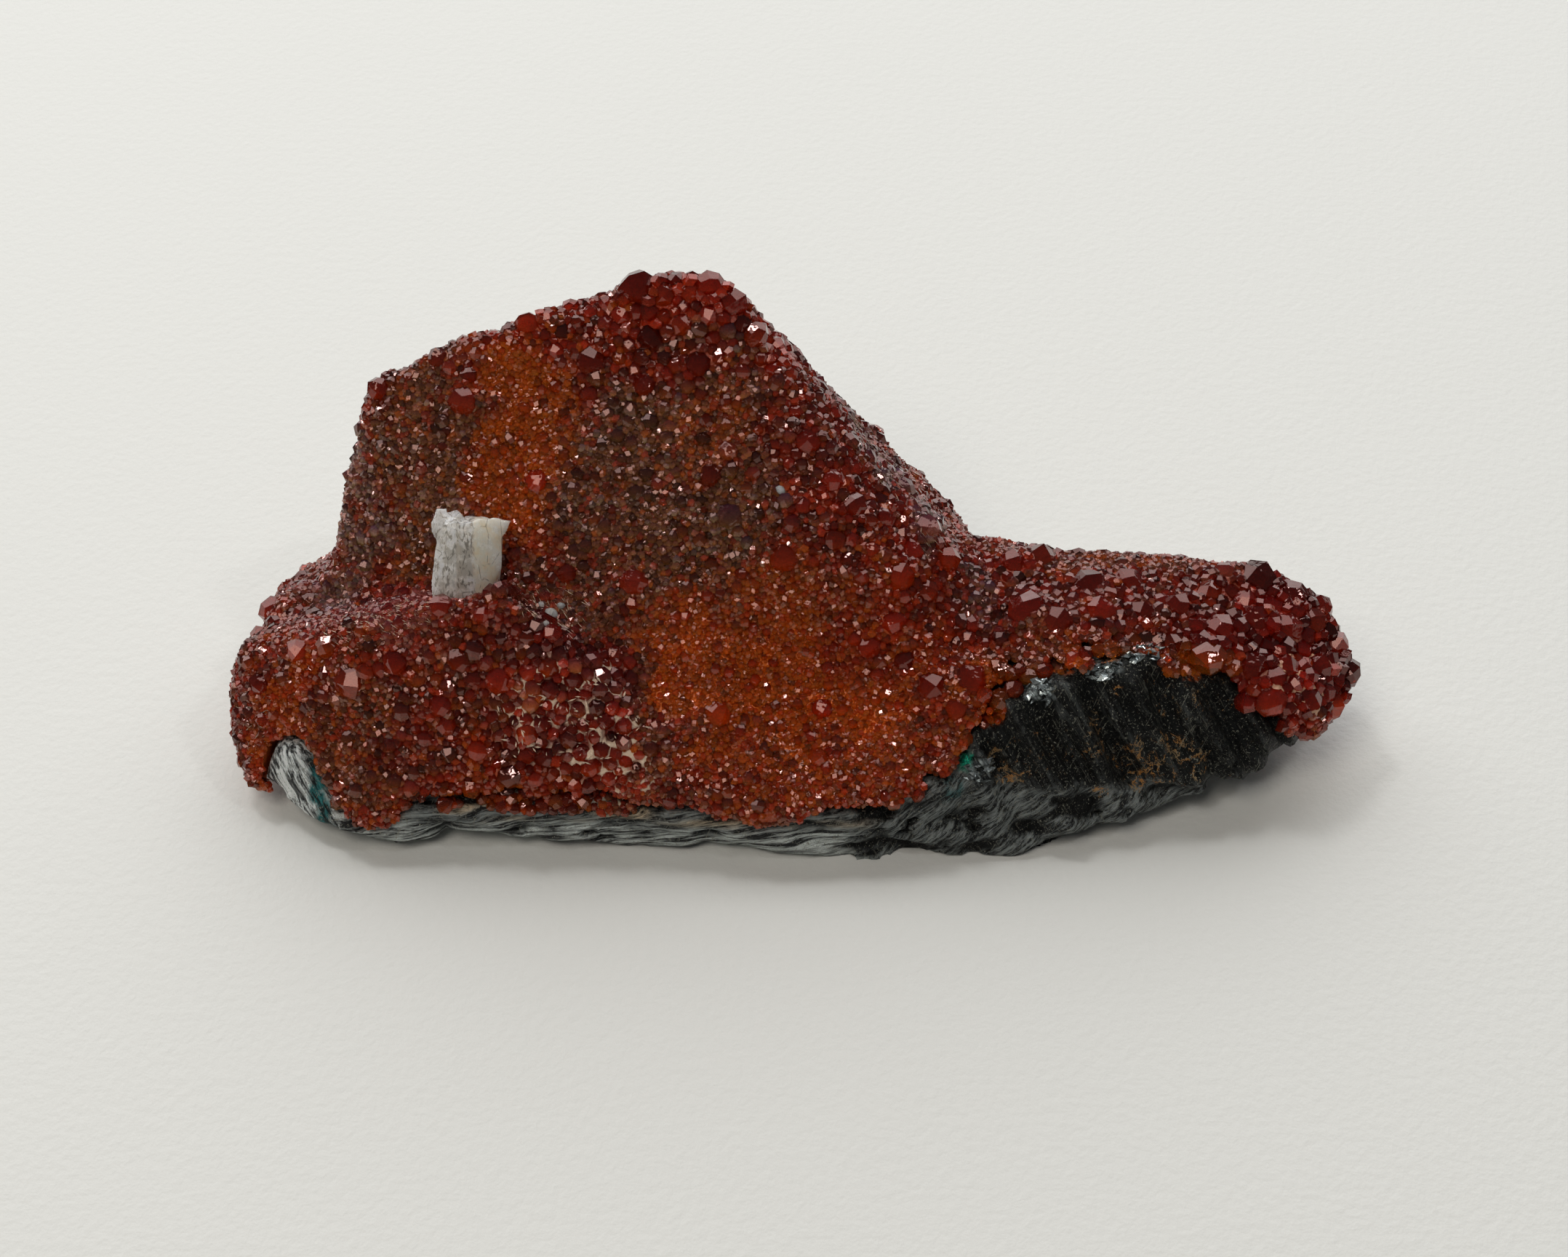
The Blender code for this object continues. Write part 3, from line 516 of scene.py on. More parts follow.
def select_corners(seed, low, high):
    """Selects the vertices whose distance from the middle lies between two values."""
    bpy.ops.mesh.select_mode(type="VERT")
    bpy.ops.mesh.select_all(action="DESELECT")
    bpy.ops.object.mode_set(mode="OBJECT")
    for vertex in seed.data.vertices:
        vertex.select = low < vertex.co.length < high
    bpy.ops.object.mode_set(mode="EDIT")


def dodecahedron():
    """A garnet of twelve rhombs: a cube with a low pyramid raised on each face."""
    bpy.ops.object.select_all(action="DESELECT")
    bpy.ops.mesh.primitive_cube_add(size=2.0, location=(0.0, 0.0, 0.0))
    seed = bpy.context.active_object
    bpy.ops.object.mode_set(mode="EDIT")
    bpy.ops.mesh.poke(offset=1.0)
    bpy.ops.mesh.dissolve_limited(angle_limit=math.radians(2.0))
    bpy.ops.object.mode_set(mode="OBJECT")
    return shape_of(seed)


def trapezohedron():
    """A rounder garnet of 24 kites: a cube cut in four on each face, its corners drawn in."""
    bpy.ops.object.select_all(action="DESELECT")
    bpy.ops.mesh.primitive_cube_add(size=2.0, location=(0.0, 0.0, 0.0))
    seed = bpy.context.active_object
    bpy.ops.object.mode_set(mode="EDIT")
    bpy.ops.mesh.subdivide(number_cuts=1)
    select_corners(seed, 1.6, 1.9)
    bpy.ops.transform.resize(value=(0.5, 0.5, 0.5), center_override=(0.0, 0.0, 0.0))
    select_corners(seed, 1.3, 1.5)
    share = 2.0 / 3.0
    bpy.ops.transform.resize(value=(share, share, share), center_override=(0.0, 0.0, 0.0))
    bpy.ops.object.mode_set(mode="OBJECT")
    return shape_of(seed)


def octahedron():
    """A grain of eight faces: a four-sided cone whose fanned base is drawn down to a point."""
    bpy.ops.object.select_all(action="DESELECT")
    bpy.ops.mesh.primitive_cone_add(vertices=4, radius1=1.0, radius2=0.0, depth=1.0,
                                    end_fill_type="TRIFAN", location=(0.0, 0.0, 0.0))
    seed = bpy.context.active_object
    bpy.ops.object.mode_set(mode="EDIT")
    select_corners(seed, 0.0, 0.7)
    bpy.ops.object.mode_set(mode="OBJECT")
    for vertex in seed.data.vertices:
        vertex.select = vertex.select and vertex.co.z < 0.0
    bpy.ops.object.mode_set(mode="EDIT")
    bpy.ops.transform.translate(value=(0.0, 0.0, -1.0))
    bpy.ops.mesh.select_all(action="SELECT")
    bpy.ops.transform.translate(value=(0.0, 0.0, 0.5))
    bpy.ops.object.mode_set(mode="OBJECT")
    corners, faces = shape_of(seed)
    return corners * 0.72, faces


def crystal_piece(name, shape, centres, turns, sizes, colours, painted_glow=0.0):
    """One mesh of many crystals: their centres, turns, sizes along three axes and colours.

    The last argument is how much redder and lighter each crystal is painted at its lower front than at its
    top: a painted glow of light passing through it, with painted shade at its top.
    """
    corners, faces = shape
    places = np.einsum("nij,nkj->nki", turns, corners[None] * sizes[:, None, :])
    # Painted glow and shade: each corner is painted lighter and more orange the farther it lies down and to
    # the front of the crystal's middle, and darker the farther up and back
    glow_share = places @ np.array(PAINTED_GLOW_WAY) / sizes.mean(1)[:, None] * 2.0 * painted_glow
    colours = np.repeat(colours[:, None, :], len(corners), axis=1)
    colours[:, :, :3] = kept_below_white(colours[:, :, :3] * np.exp(glow_share[:, :, None] * PAINTED_GLOW))
    places += centres[:, None, :]
    inside = ((places >= np.array(CAD_BOX[0])) & (places <= np.array(CAD_BOX[1]))).all(axis=(1, 2))
    places, colours = places[inside], colours[inside]
    count = len(places)
    rings = faces[None] + (np.arange(count) * len(corners))[:, None, None]
    mesh = bpy.data.meshes.new(name)
    mesh.vertices.add(count * len(corners))
    mesh.vertices.foreach_set("co", places.astype(np.float32).ravel())
    mesh.loops.add(rings.size)
    mesh.loops.foreach_set("vertex_index", rings.astype(np.int32).ravel())
    mesh.polygons.add(count * len(faces))
    mesh.polygons.foreach_set("loop_start", np.arange(0, rings.size, faces.shape[1], dtype=np.int32))
    mesh.update(calc_edges=True)
    mesh.shade_flat()
    paint(mesh, "tint", colours.reshape(-1, 4))
    print(name, count, "crystals,", count * len(faces) * (faces.shape[1] - 2), "triangles")
    return linked(name, mesh)


class Seats:
    """Places that are taken on the druse, kept in cubes so that neighbours are found quickly."""

    def __init__(self):
        self.levels = [(0.5 * MM, {}), (2.4 * MM, {})]

    def add(self, place, radius):
        cube, taken = self.levels[0 if radius < 0.25 * MM else 1]
        key = tuple(int(value // cube) for value in place)
        taken.setdefault(key, []).append((*place, radius))

    def free(self, place, radius):
        """True if no taken place is nearer than both radii together."""
        x, y, z = place
        for cube, taken in self.levels:
            middle = [int(value // cube) for value in place]
            for ix in (middle[0] - 1, middle[0], middle[0] + 1):
                for iy in (middle[1] - 1, middle[1], middle[1] + 1):
                    for iz in (middle[2] - 1, middle[2], middle[2] + 1):
                        for ox, oy, oz, reach in taken.get((ix, iy, iz), ()):
                            gap = radius + reach
                            if (ox - x) ** 2 + (oy - y) ** 2 + (oz - z) ** 2 < gap * gap:
                                return False
        return True


class Druse:
    """What the druse's operators share: the skin's outer faces and the seats already taken."""

    def __init__(self, skin, ore, ore_solid, quartz):
        under = tree_of(skin)
        parts = [self.open_faces(skin, ore_solid, quartz), self.open_faces(ore, under, quartz, COVERED)]
        self.corners, self.normals, self.areas = (np.concatenate(pair) for pair in zip(*parts))
        middles = self.corners.mean(1)
        self.widths, self.mixes = druse_fields(middles)
        self.gaps = 1.0 + sum(grout_cover(middles, row)[0] * (row[3] - 1.0) for row in GROUT)
        self.seats = Seats()

    def open_faces(self, mesh, other, quartz, zones=None):
        """Corners, normals and areas of a mesh's triangles that face open air, in some zones."""
        mesh.calc_loop_triangles()
        places = read_array(mesh.vertices, "co")
        ends = np.array([tuple(item.vertices) for item in mesh.loop_triangles])
        corners = places[ends]
        normals = np.array([tuple(item.normal) for item in mesh.loop_triangles])
        areas = np.array([item.area for item in mesh.loop_triangles])
        middles = corners.mean(1)
        keep = np.ones(len(ends), bool)
        if zones:
            far = [np.linalg.norm((middles / MM - middle) / radii, axis=1) for middle, radii in zones]
            keep = (np.min(far, axis=0) < 1.0) & (normals[:, 2] > -0.3)
        reach = OPEN_AIR_MM[1 if zones else 0] * MM
        for i in np.flatnonzero(keep):
            start, way = Vector(middles[i]), Vector(normals[i])
            facing = other.ray_cast(start + way * 0.02 * MM, way, reach)[0]
            if facing is not None or quartz.find_nearest(start)[3] < QUARTZ_CLEAR_MM * MM:
                keep[i] = False
        return corners[keep], normals[keep], areas[keep]

    def spots(self, count, chance):
        """Random faces, and a random place on each, spread evenly over the druse."""
        chosen = chance.choice(len(self.areas), size=count, p=self.areas / self.areas.sum())
        a, b = chance.random((2, count, 1))
        a = np.sqrt(a)
        ends = self.corners[chosen]
        return chosen, ends[:, 0] * (1 - a) + ends[:, 1] * a * (1 - b) + ends[:, 2] * a * b

    def seat(self, plan, chance):
        """One round of setting crystals: their faces, places and widths."""
        tries, least, low, high, near = plan
        chosen, places = self.spots(tries, chance)
        widths = self.widths[chosen] * chance.uniform(low, high, tries)
        fit = self.widths[chosen] >= least * MM
        found = []
        for i in np.flatnonzero(fit):
            place = tuple(places[i].tolist())
            radius = widths[i] * near / 2.0 * self.gaps[chosen[i]]
            if self.seats.free(place, radius):
                self.seats.add(place, radius)
                found.append(i)
        found = np.array(found)
        return chosen[found], places[found], widths[found]


BUILT = {}     # what one operator leaves for the next


def finish_piece(piece, material):
    piece.data.materials.clear()
    piece.data.materials.append(material)
    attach(piece, BODY)


def new_material(name):
    """A material with its Principled shader, and its node tree."""
    material = bpy.data.materials.new(name)
    material.use_nodes = True
    tree = material.node_tree
    return material, tree.nodes["Principled BSDF"], tree


def add_node(tree, kind, inputs=None, **values):
    """A node with its settings and the values of its inputs."""
    node = tree.nodes.new(kind)
    for key, value in values.items():
        setattr(node, key, value)
    for key, value in (inputs or {}).items():
        node.inputs[key].default_value = value
    return node


def new_group(name, inputs, outputs):
    """A node group, with its input and output nodes. Sockets are (name, kind, value)."""
    tree = bpy.data.node_groups.new(name, "ShaderNodeTree")
    for label, kind, value in inputs:
        socket = tree.interface.new_socket(label, in_out="INPUT", socket_type="NodeSocket" + kind)
        if value is not None:
            socket.default_value = value
    for label, kind in outputs:
        tree.interface.new_socket(label, in_out="OUTPUT", socket_type="NodeSocket" + kind)
    return tree, tree.nodes.new("NodeGroupInput"), tree.nodes.new("NodeGroupOutput")


def mixed(tree, factor, first, second):
    """The colour between two colours. Each argument is a socket or a plain value."""
    node = add_node(tree, "ShaderNodeMix", data_type="RGBA")
    for index, item in ((0, factor), (6, first), (7, second)):
        if isinstance(item, bpy.types.NodeSocket):
            tree.links.new(item, node.inputs[index])
        else:
            node.inputs[index].default_value = item
    return node.outputs[2]


def mapped(tree, value, low, high, to_low=0.0, to_high=1.0):
    """A value carried from one range to another, and kept in it."""
    node = add_node(tree, "ShaderNodeMapRange",
                    {"From Min": low, "From Max": high, "To Min": to_low, "To Max": to_high})
    tree.links.new(value, node.inputs["Value"])
    return node.outputs["Result"]


def noise_of(tree, coordinates, scale, detail=2.0, roughness=0.5):
    node = add_node(tree, "ShaderNodeTexNoise",
                    {"Scale": scale, "Detail": detail, "Roughness": roughness})
    tree.links.new(coordinates, node.inputs["Vector"])
    return node.outputs["Fac"]


def dust_group():
    """Shader group: a thin pale dust in patches over a colour, with the roughness it gives."""
    if "mineral_dust" in bpy.data.node_groups:
        return bpy.data.node_groups["mineral_dust"]
    tree, inlet, outlet = new_group(
        "mineral_dust",
        [("Color", "Color", (0.5, 0.5, 0.5, 1.0)), ("Dust", "Color", (0.5, 0.4, 0.35, 1.0)),
         ("Amount", "Float", 0.3), ("Roughness", "Float", 0.2), ("Vector", "Vector", None)],
        [("Color", "Color"), ("Roughness", "Float")])
    broad = noise_of(tree, inlet.outputs["Vector"], 700.0, 3.0, 0.6)
    fine = noise_of(tree, inlet.outputs["Vector"], 6000.0, 2.0, 0.6)
    both = add_node(tree, "ShaderNodeMath", operation="MULTIPLY")
    tree.links.new(mapped(tree, broad, 0.42, 0.66), both.inputs[0])
    tree.links.new(mapped(tree, fine, 0.40, 0.62), both.inputs[1])
    scaled = add_node(tree, "ShaderNodeMath", operation="MULTIPLY")
    tree.links.new(both.outputs[0], scaled.inputs[0])
    tree.links.new(inlet.outputs["Amount"], scaled.inputs[1])
    tree.links.new(mixed(tree, scaled.outputs[0], inlet.outputs["Color"], inlet.outputs["Dust"]),
                   outlet.inputs["Color"])
    rough = add_node(tree, "ShaderNodeMath", operation="MULTIPLY_ADD", use_clamp=True)
    tree.links.new(scaled.outputs[0], rough.inputs[0])
    rough.inputs[1].default_value = 0.2
    tree.links.new(inlet.outputs["Roughness"], rough.inputs[2])
    tree.links.new(rough.outputs[0], outlet.inputs["Roughness"])
    return tree


def dusted(tree, shader, colour, dust, amount, roughness):
    """Links a colour and roughness with dust on them to the shader."""
    place = add_node(tree, "ShaderNodeTexCoord")
    group = add_node(tree, "ShaderNodeGroup", node_tree=dust_group())
    group.inputs["Dust"].default_value = dust
    group.inputs["Amount"].default_value = amount
    group.inputs["Roughness"].default_value = roughness
    tree.links.new(colour, group.inputs["Color"])
    tree.links.new(place.outputs["Object"], group.inputs["Vector"])
    tree.links.new(group.outputs["Color"], shader.inputs["Base Color"])
    tree.links.new(group.outputs["Roughness"], shader.inputs["Roughness"])


def garnet_material(name, transmission, roughness, amount, wave):
    """Glassy garnet in the tint that each crystal is painted with.

    wave is the size in mm of the faint waves on its faces.
    """
    material, shader, tree = new_material(name)
    tint = add_node(tree, "ShaderNodeAttribute", attribute_name="tint")
    dusted(tree, shader, tint.outputs["Color"], (0.30, 0.13, 0.09, 1.0), amount, roughness)
    shader.inputs["IOR"].default_value = 1.78
    shader.inputs["Specular Tint"].default_value = (0.96, 0.59, 0.54, 1.0)
    shader.inputs["Transmission Weight"].default_value = transmission
    place = add_node(tree, "ShaderNodeTexCoord")
    bump = add_node(tree, "ShaderNodeBump", {"Strength": 1.0, "Distance": wave * 0.05 * MM})
    tree.links.new(noise_of(tree, place.outputs["Object"], 1.0 / (wave * MM), 2.0, 0.5),
                   bump.inputs["Height"])
    tree.links.new(bump.outputs["Normal"], shader.inputs["Normal"])
    return material


def skin_material():
    """The fine druse between the crystals."""
    material, shader, tree = new_material("druse_skin")
    tint = add_node(tree, "ShaderNodeAttribute", attribute_name="tint")
    dusted(tree, shader, tint.outputs["Color"], (0.50, 0.30, 0.20, 1.0), 0.25, 0.35)
    place = add_node(tree, "ShaderNodeTexCoord")
    cells = add_node(tree, "ShaderNodeTexVoronoi", {"Scale": 5200.0})
    tree.links.new(place.outputs["Object"], cells.inputs["Vector"])
    bump = add_node(tree, "ShaderNodeBump", {"Strength": 0.8, "Distance": 0.0001})
    tree.links.new(cells.outputs["Distance"], bump.inputs["Height"])
    tree.links.new(bump.outputs["Normal"], shader.inputs["Normal"])
    return material


def flake_material():
    material, shader, tree = new_material("pale_flakes")
    tint = add_node(tree, "ShaderNodeAttribute", attribute_name="tint")
    dusted(tree, shader, tint.outputs["Color"], (0.5, 0.3, 0.2, 1.0), 0.6, 0.45)
    return material


def stretched(tree, coordinates, rows, stretch):
    """Coordinates along three directions, each scaled by its own stretch."""
    joined = add_node(tree, "ShaderNodeCombineXYZ")
    for i, (row, scale) in enumerate(zip(rows, stretch)):
        along = add_node(tree, "ShaderNodeVectorMath", operation="DOT_PRODUCT")
        tree.links.new(coordinates, along.inputs[0])
        along.inputs[1].default_value = tuple(row * scale)
        tree.links.new(along.outputs["Value"], joined.inputs[i])
    return joined.outputs[0]


def ore_material():
    """Fibrous ore: painted zones, fibres or layers, pale hairs, fine pale specks painted as glints, tan
    crumbs and a sheen.
    """
    material, shader, tree = new_material("fibrous_ore")
    tint = add_node(tree, "ShaderNodeAttribute", attribute_name="tint")
    look = add_node(tree, "ShaderNodeAttribute", attribute_name="look")
    parts = add_node(tree, "ShaderNodeSeparateColor")
    tree.links.new(look.outputs["Color"], parts.inputs[0])
    place = add_node(tree, "ShaderNodeTexCoord").outputs["Object"]
    fibre_ways = (FIBRE, ACROSS, THIRD)
    strands = noise_of(tree, stretched(tree, place, fibre_ways, (240.0, 3800.0, 3800.0)), 1.0, 5.0, 0.7)
    threads = noise_of(tree, stretched(tree, place, fibre_ways, (330.0, 9000.0, 6500.0)), 1.0, 2.0, 0.6)
    scratches = noise_of(tree, stretched(tree, place, SCRATCH_WAYS, (260.0, 9000.0, 6500.0)), 1.0, 2.0, 0.6)
    layers = noise_of(tree, stretched(tree, place, LAYER_WAYS, (420.0, 900.0, 5200.0)), 1.0, 5.0, 0.7)
    slants = noise_of(tree, stretched(tree, place, SHELF_WAYS, (700.0, 1600.0, 6200.0)), 1.0, 5.0, 0.75)
    crumbs = noise_of(tree, place, 3400.0, 5.0, 0.75)
    patches = noise_of(tree, place, 1100.0, 3.0, 0.6)
    veins = noise_of(tree, place, 1700.0, 4.0, 0.65)
    glint_specks = noise_of(tree, place, 9000.0, 2.0, 0.6)
    flat = add_node(tree, "ShaderNodeMix", data_type="FLOAT")
    tree.links.new(tint.outputs["Alpha"], flat.inputs[0])
    tree.links.new(layers, flat.inputs[2])
    tree.links.new(slants, flat.inputs[3])
    grain = add_node(tree, "ShaderNodeMix", data_type="FLOAT")
    tree.links.new(parts.outputs["Blue"], grain.inputs[0])
    tree.links.new(flat.outputs[0], grain.inputs[2])
    tree.links.new(strands, grain.inputs[3])
    grain = grain.outputs[0]
    deep = mixed(tree, mapped(tree, grain, 0.44, 0.60), (0.05, 0.05, 0.055, 1.0), (1.9, 1.9, 1.9, 1.0))
    shaded = add_node(tree, "ShaderNodeMix", data_type="RGBA", blend_type="MULTIPLY")
    shaded.inputs[0].default_value = 1.0
    tree.links.new(tint.outputs["Color"], shaded.inputs[6])
    tree.links.new(deep, shaded.inputs[7])
    lines = add_node(tree, "ShaderNodeMath", operation="MAXIMUM")
    tree.links.new(mapped(tree, threads, 0.62, 0.68, 0.0, 0.30), lines.inputs[0])
    tree.links.new(mapped(tree, scratches, 0.65, 0.69, 0.0, 0.6), lines.inputs[1])
    # Painted highlights: fine pale specks, painted as tiny glints on the black ore, join the pale threads
    # and scratches
    points = add_node(tree, "ShaderNodeMath", operation="MAXIMUM")
    tree.links.new(lines.outputs[0], points.inputs[0])
    tree.links.new(mapped(tree, glint_specks, 0.62, 0.68, 0.0, 1.0), points.inputs[1])
    fibres_and_glints = mixed(tree, points.outputs[0], shaded.outputs[2], (0.34, 0.34, 0.28, 1.0))
    off = add_node(tree, "ShaderNodeMath", {1: 0.5}, operation="SUBTRACT")
    tree.links.new(veins, off.inputs[0])
    ring = add_node(tree, "ShaderNodeMath", operation="ABSOLUTE")
    tree.links.new(off.outputs[0], ring.inputs[0])
    network = mapped(tree, ring.outputs[0], 0.0, 0.06, 0.22, 0.0)
    value = add_node(tree, "ShaderNodeMath", operation="ADD")
    tree.links.new(crumbs, value.inputs[0])
    tree.links.new(network, value.inputs[1])
    needed = add_node(tree, "ShaderNodeMath", {1: -0.44, 2: 0.88}, operation="MULTIPLY_ADD")
    tree.links.new(look.outputs["Alpha"], needed.inputs[0])
    over = add_node(tree, "ShaderNodeMath", operation="SUBTRACT")
    tree.links.new(value.outputs[0], over.inputs[0])
    tree.links.new(needed.outputs[0], over.inputs[1])
    crumb_colour = mixed(tree, mapped(tree, patches, 0.40, 0.62), (0.60, 0.27, 0.07, 1.0),
                         (0.50, 0.36, 0.20, 1.0))
    crumbled = mixed(tree, mapped(tree, over.outputs[0], 0.0, 0.08, 0.0, 0.95), fibres_and_glints, crumb_colour)
    tree.links.new(crumbled, shader.inputs["Base Color"])
    tree.links.new(parts.outputs["Green"], shader.inputs["Roughness"])
    shader.inputs["Specular IOR Level"].default_value = 0.32
    tree.links.new(parts.outputs["Red"], shader.inputs["Metallic"])
    bump = add_node(tree, "ShaderNodeBump", {"Strength": 1.0, "Distance": 0.00035})
    tree.links.new(grain, bump.inputs["Height"])
    finer = add_node(tree, "ShaderNodeBump", {"Strength": 0.8, "Distance": 0.00012})
    tree.links.new(crumbs, finer.inputs["Height"])
    tree.links.new(bump.outputs["Normal"], finer.inputs["Normal"])
    tree.links.new(finer.outputs["Normal"], shader.inputs["Normal"])
    return material


def steel_material():
    """Bright metallic slivers, streaked."""
    material, shader, tree = new_material("steel_flakes")
    tint = add_node(tree, "ShaderNodeAttribute", attribute_name="tint")
    place = add_node(tree, "ShaderNodeTexCoord").outputs["Object"]
    streaks = noise_of(tree, stretched(tree, place, (FIBRE, ACROSS, THIRD), (600.0, 9000.0, 9000.0)), 1.0)
    tree.links.new(mixed(tree, mapped(tree, streaks, 0.40, 0.60), (0.12, 0.13, 0.13, 1.0),
                         tint.outputs["Color"]), shader.inputs["Base Color"])
    tree.links.new(mapped(tree, streaks, 0.40, 0.60, 0.40, 0.18), shader.inputs["Roughness"])
    shader.inputs["Metallic"].default_value = 0.8
    return material


def quartz_material():
    """Cloudy quartz: a cool blade and a warm block, with veils, cracks and upright streaks."""
    material, shader, tree = new_material("cloudy_quartz")
    place = add_node(tree, "ShaderNodeTexCoord").outputs["Object"]
    veils = noise_of(tree, place, 1000.0, 4.0, 0.65)
    sides = add_node(tree, "ShaderNodeSeparateXYZ")
    tree.links.new(place, sides.inputs[0])
    warm = mixed(tree, mapped(tree, veils, 0.40, 0.60), (1.0, 0.78, 0.57, 1.0), (1.0, 0.93, 0.80, 1.0))
    cool = mixed(tree, mapped(tree, veils, 0.44, 0.56), (0.60, 0.58, 0.54, 1.0), (1.0, 0.97, 0.91, 1.0))
    block = mapped(tree, sides.outputs["X"], BLADE_EDGE_MM[0] * MM, BLADE_EDGE_MM[1] * MM)
    colour = mixed(tree, block, cool, warm)
    upright = stretched(tree, place, UPRIGHT, (1.0, 1.0, 0.22))
    cells = add_node(tree, "ShaderNodeTexVoronoi", {"Scale": 1500.0}, feature="DISTANCE_TO_EDGE")
    tree.links.new(upright, cells.inputs["Vector"])
    gaps = noise_of(tree, upright, 2600.0, 3.0, 0.6)
    cracks = add_node(tree, "ShaderNodeMath", operation="MULTIPLY")
    tree.links.new(mapped(tree, cells.outputs["Distance"], 0.0, 0.04, 0.9, 0.0), cracks.inputs[0])
    tree.links.new(mapped(tree, gaps, 0.46, 0.58), cracks.inputs[1])
    cracked = mixed(tree, cracks.outputs[0], colour, (0.25, 0.24, 0.22, 1.0))
    lines = noise_of(tree, stretched(tree, place, UPRIGHT, (5200.0, 5200.0, 420.0)), 1.0, 2.0, 0.6)
    streaked = add_node(tree, "ShaderNodeMath", operation="MULTIPLY")
    tree.links.new(mapped(tree, lines, 0.54, 0.62, 0.0, 0.75), streaked.inputs[0])
    tree.links.new(mapped(tree, block, 0.0, 1.0, 1.0, 0.15), streaked.inputs[1])
    tree.links.new(mixed(tree, streaked.outputs[0], cracked, (0.20, 0.19, 0.17, 1.0)),
                   shader.inputs["Base Color"])
    tree.links.new(mapped(tree, veils, 0.40, 0.60, 0.08, 0.30), shader.inputs["Roughness"])
    shader.inputs["IOR"].default_value = 1.54
    shader.inputs["Transmission Weight"].default_value = 0.14
    shader.inputs["Subsurface Weight"].default_value = 0.9
    shader.inputs["Subsurface Radius"].default_value = (1.0, 0.90, 0.78)
    shader.inputs["Subsurface Scale"].default_value = 3.4 * MM
    streaks = noise_of(tree, stretched(tree, place, UPRIGHT, (3600.0, 3600.0, 500.0)), 1.0, 3.0, 0.6)
    bump = add_node(tree, "ShaderNodeBump", {"Strength": 0.35, "Distance": 0.0001})
    tree.links.new(streaks, bump.inputs["Height"])
    tree.links.new(bump.outputs["Normal"], shader.inputs["Normal"])
    return material


def floor_material(colour):
    """A plain pale table top with a faint grain."""
    material, shader, tree = new_material("pale_floor")
    shader.inputs["Base Color"].default_value = (*colour, 1.0)
    shader.inputs["Roughness"].default_value = 0.55
    place = add_node(tree, "ShaderNodeTexCoord").outputs["Object"]
    bump = add_node(tree, "ShaderNodeBump", {"Strength": 0.25, "Distance": 0.0002})
    tree.links.new(noise_of(tree, place, 1800.0, 3.0, 0.6), bump.inputs["Height"])
    tree.links.new(bump.outputs["Normal"], shader.inputs["Normal"])
    return material


class SPECIMEN_OT_skin(bpy.types.Operator):
    """Grow the druse's skin, which shows between the crystals"""

    bl_idname = "specimen.skin"
    bl_label = "Druse skin"

    def execute(self, context):
        props = context.scene.specimen_druse
        piece = copy_node("druse_skin", "garnet_crust")
        remesh(piece, props.grid)
        self.level(piece, props.smoothing)
        mesh = piece.data
        places = read_array(mesh.vertices, "co")
        widths, mixes = druse_fields(places)
        colours = mean_tints(mixes) * (1.0 - SKIN_SHADE * ease(0.30, 0.38, widths / MM))[:, None]
        for row in GROUT:
            crumbs = grout_cover(places, row)[1][:, None]
            colours += (np.array(TINTS[row[2]]) - colours) * crumbs
            places += read_array(mesh.vertices, "normal") * crumbs * GROUT_RISE_MM * MM
        mesh.vertices.foreach_set("co", places.astype(np.float32).ravel())
        mesh.update()
        paint(mesh, "tint", with_alpha(colours))
        finish_piece(piece, skin_material())
        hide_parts("garnet_crust")
        ore = tree_of(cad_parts["ore_matrix"].data)
        quartz = tree_of(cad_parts["quartz_crystal"].data)
        BUILT["druse"] = Druse(mesh, BUILT["ore"], ore, quartz)
        return {"FINISHED"}

    def level(self, piece, passes):
        """Smooths away the bumps where the main garnets go."""
        places = read_array(piece.data.vertices, "co") / MM
        near = np.zeros(len(places))
        for x, y, z, width in MAIN_GARNETS:
            far = np.linalg.norm(places - (x, y, z), axis=1) / width
            near = np.maximum(near, 1.0 - ease(0.62, 0.85, far))
        group = piece.vertex_groups.new(name="levelled")
        for i in np.flatnonzero(near > 0.0):
            group.add([int(i)], float(near[i]), "REPLACE")
        modifier = piece.modifiers.new("level", "SMOOTH")
        modifier.factor = 0.5
        modifier.iterations = passes
        modifier.vertex_group = "levelled"
        apply_modifiers(piece)
        piece.vertex_groups.clear()


def set_garnets(name, shape, plan, seed, material, sunk, uneven, painted_glow, main=False):
    """A piece with one round's garnets, and the main ones if asked."""
    druse, chance = BUILT["druse"], np.random.default_rng(seed)
    centres, widths, mixes = np.empty((0, 3)), np.empty(0), np.empty((0, len(TINT_NAMES)))
    if main:
        rows = np.array(MAIN_GARNETS + HOLLOW_GARNETS) * MM
        centres, widths = rows[:, :3], rows[:, 3]
        mixes = druse_fields(centres)[1]
        mixes[:len(MAIN_GARNETS)] += shares({"wine": 0.9, "scarlet": 0.4})
        mixes[len(MAIN_GARNETS):] += shares({"wine": 0.4, "amber": 0.3})
        for centre, width in zip(centres.tolist(), widths):
            druse.seats.add(tuple(centre), MAIN_SEAT * width)
    faces, places, found = druse.seat(plan, chance)
    depths = chance.uniform(*sunk, len(found)) * found
    centres = np.concatenate([centres, places - druse.normals[faces] * depths[:, None]])
    widths = np.concatenate([widths, found])
    mixes = np.concatenate([mixes, druse.mixes[faces]])
    sizes = widths[:, None] * chance.uniform(1.0 - uneven, 1.0 + uneven, (len(widths), 3))
    colours = with_alpha(drawn_tints(mixes, chance), chance.random((len(widths), 1)))
    turns = random_turns(len(widths), chance)
    # Each crystal is painted with a glow at its lower front and with shade at its top
    piece = crystal_piece(name, shape, centres, turns, sizes, colours, painted_glow)
    finish_piece(piece, material)


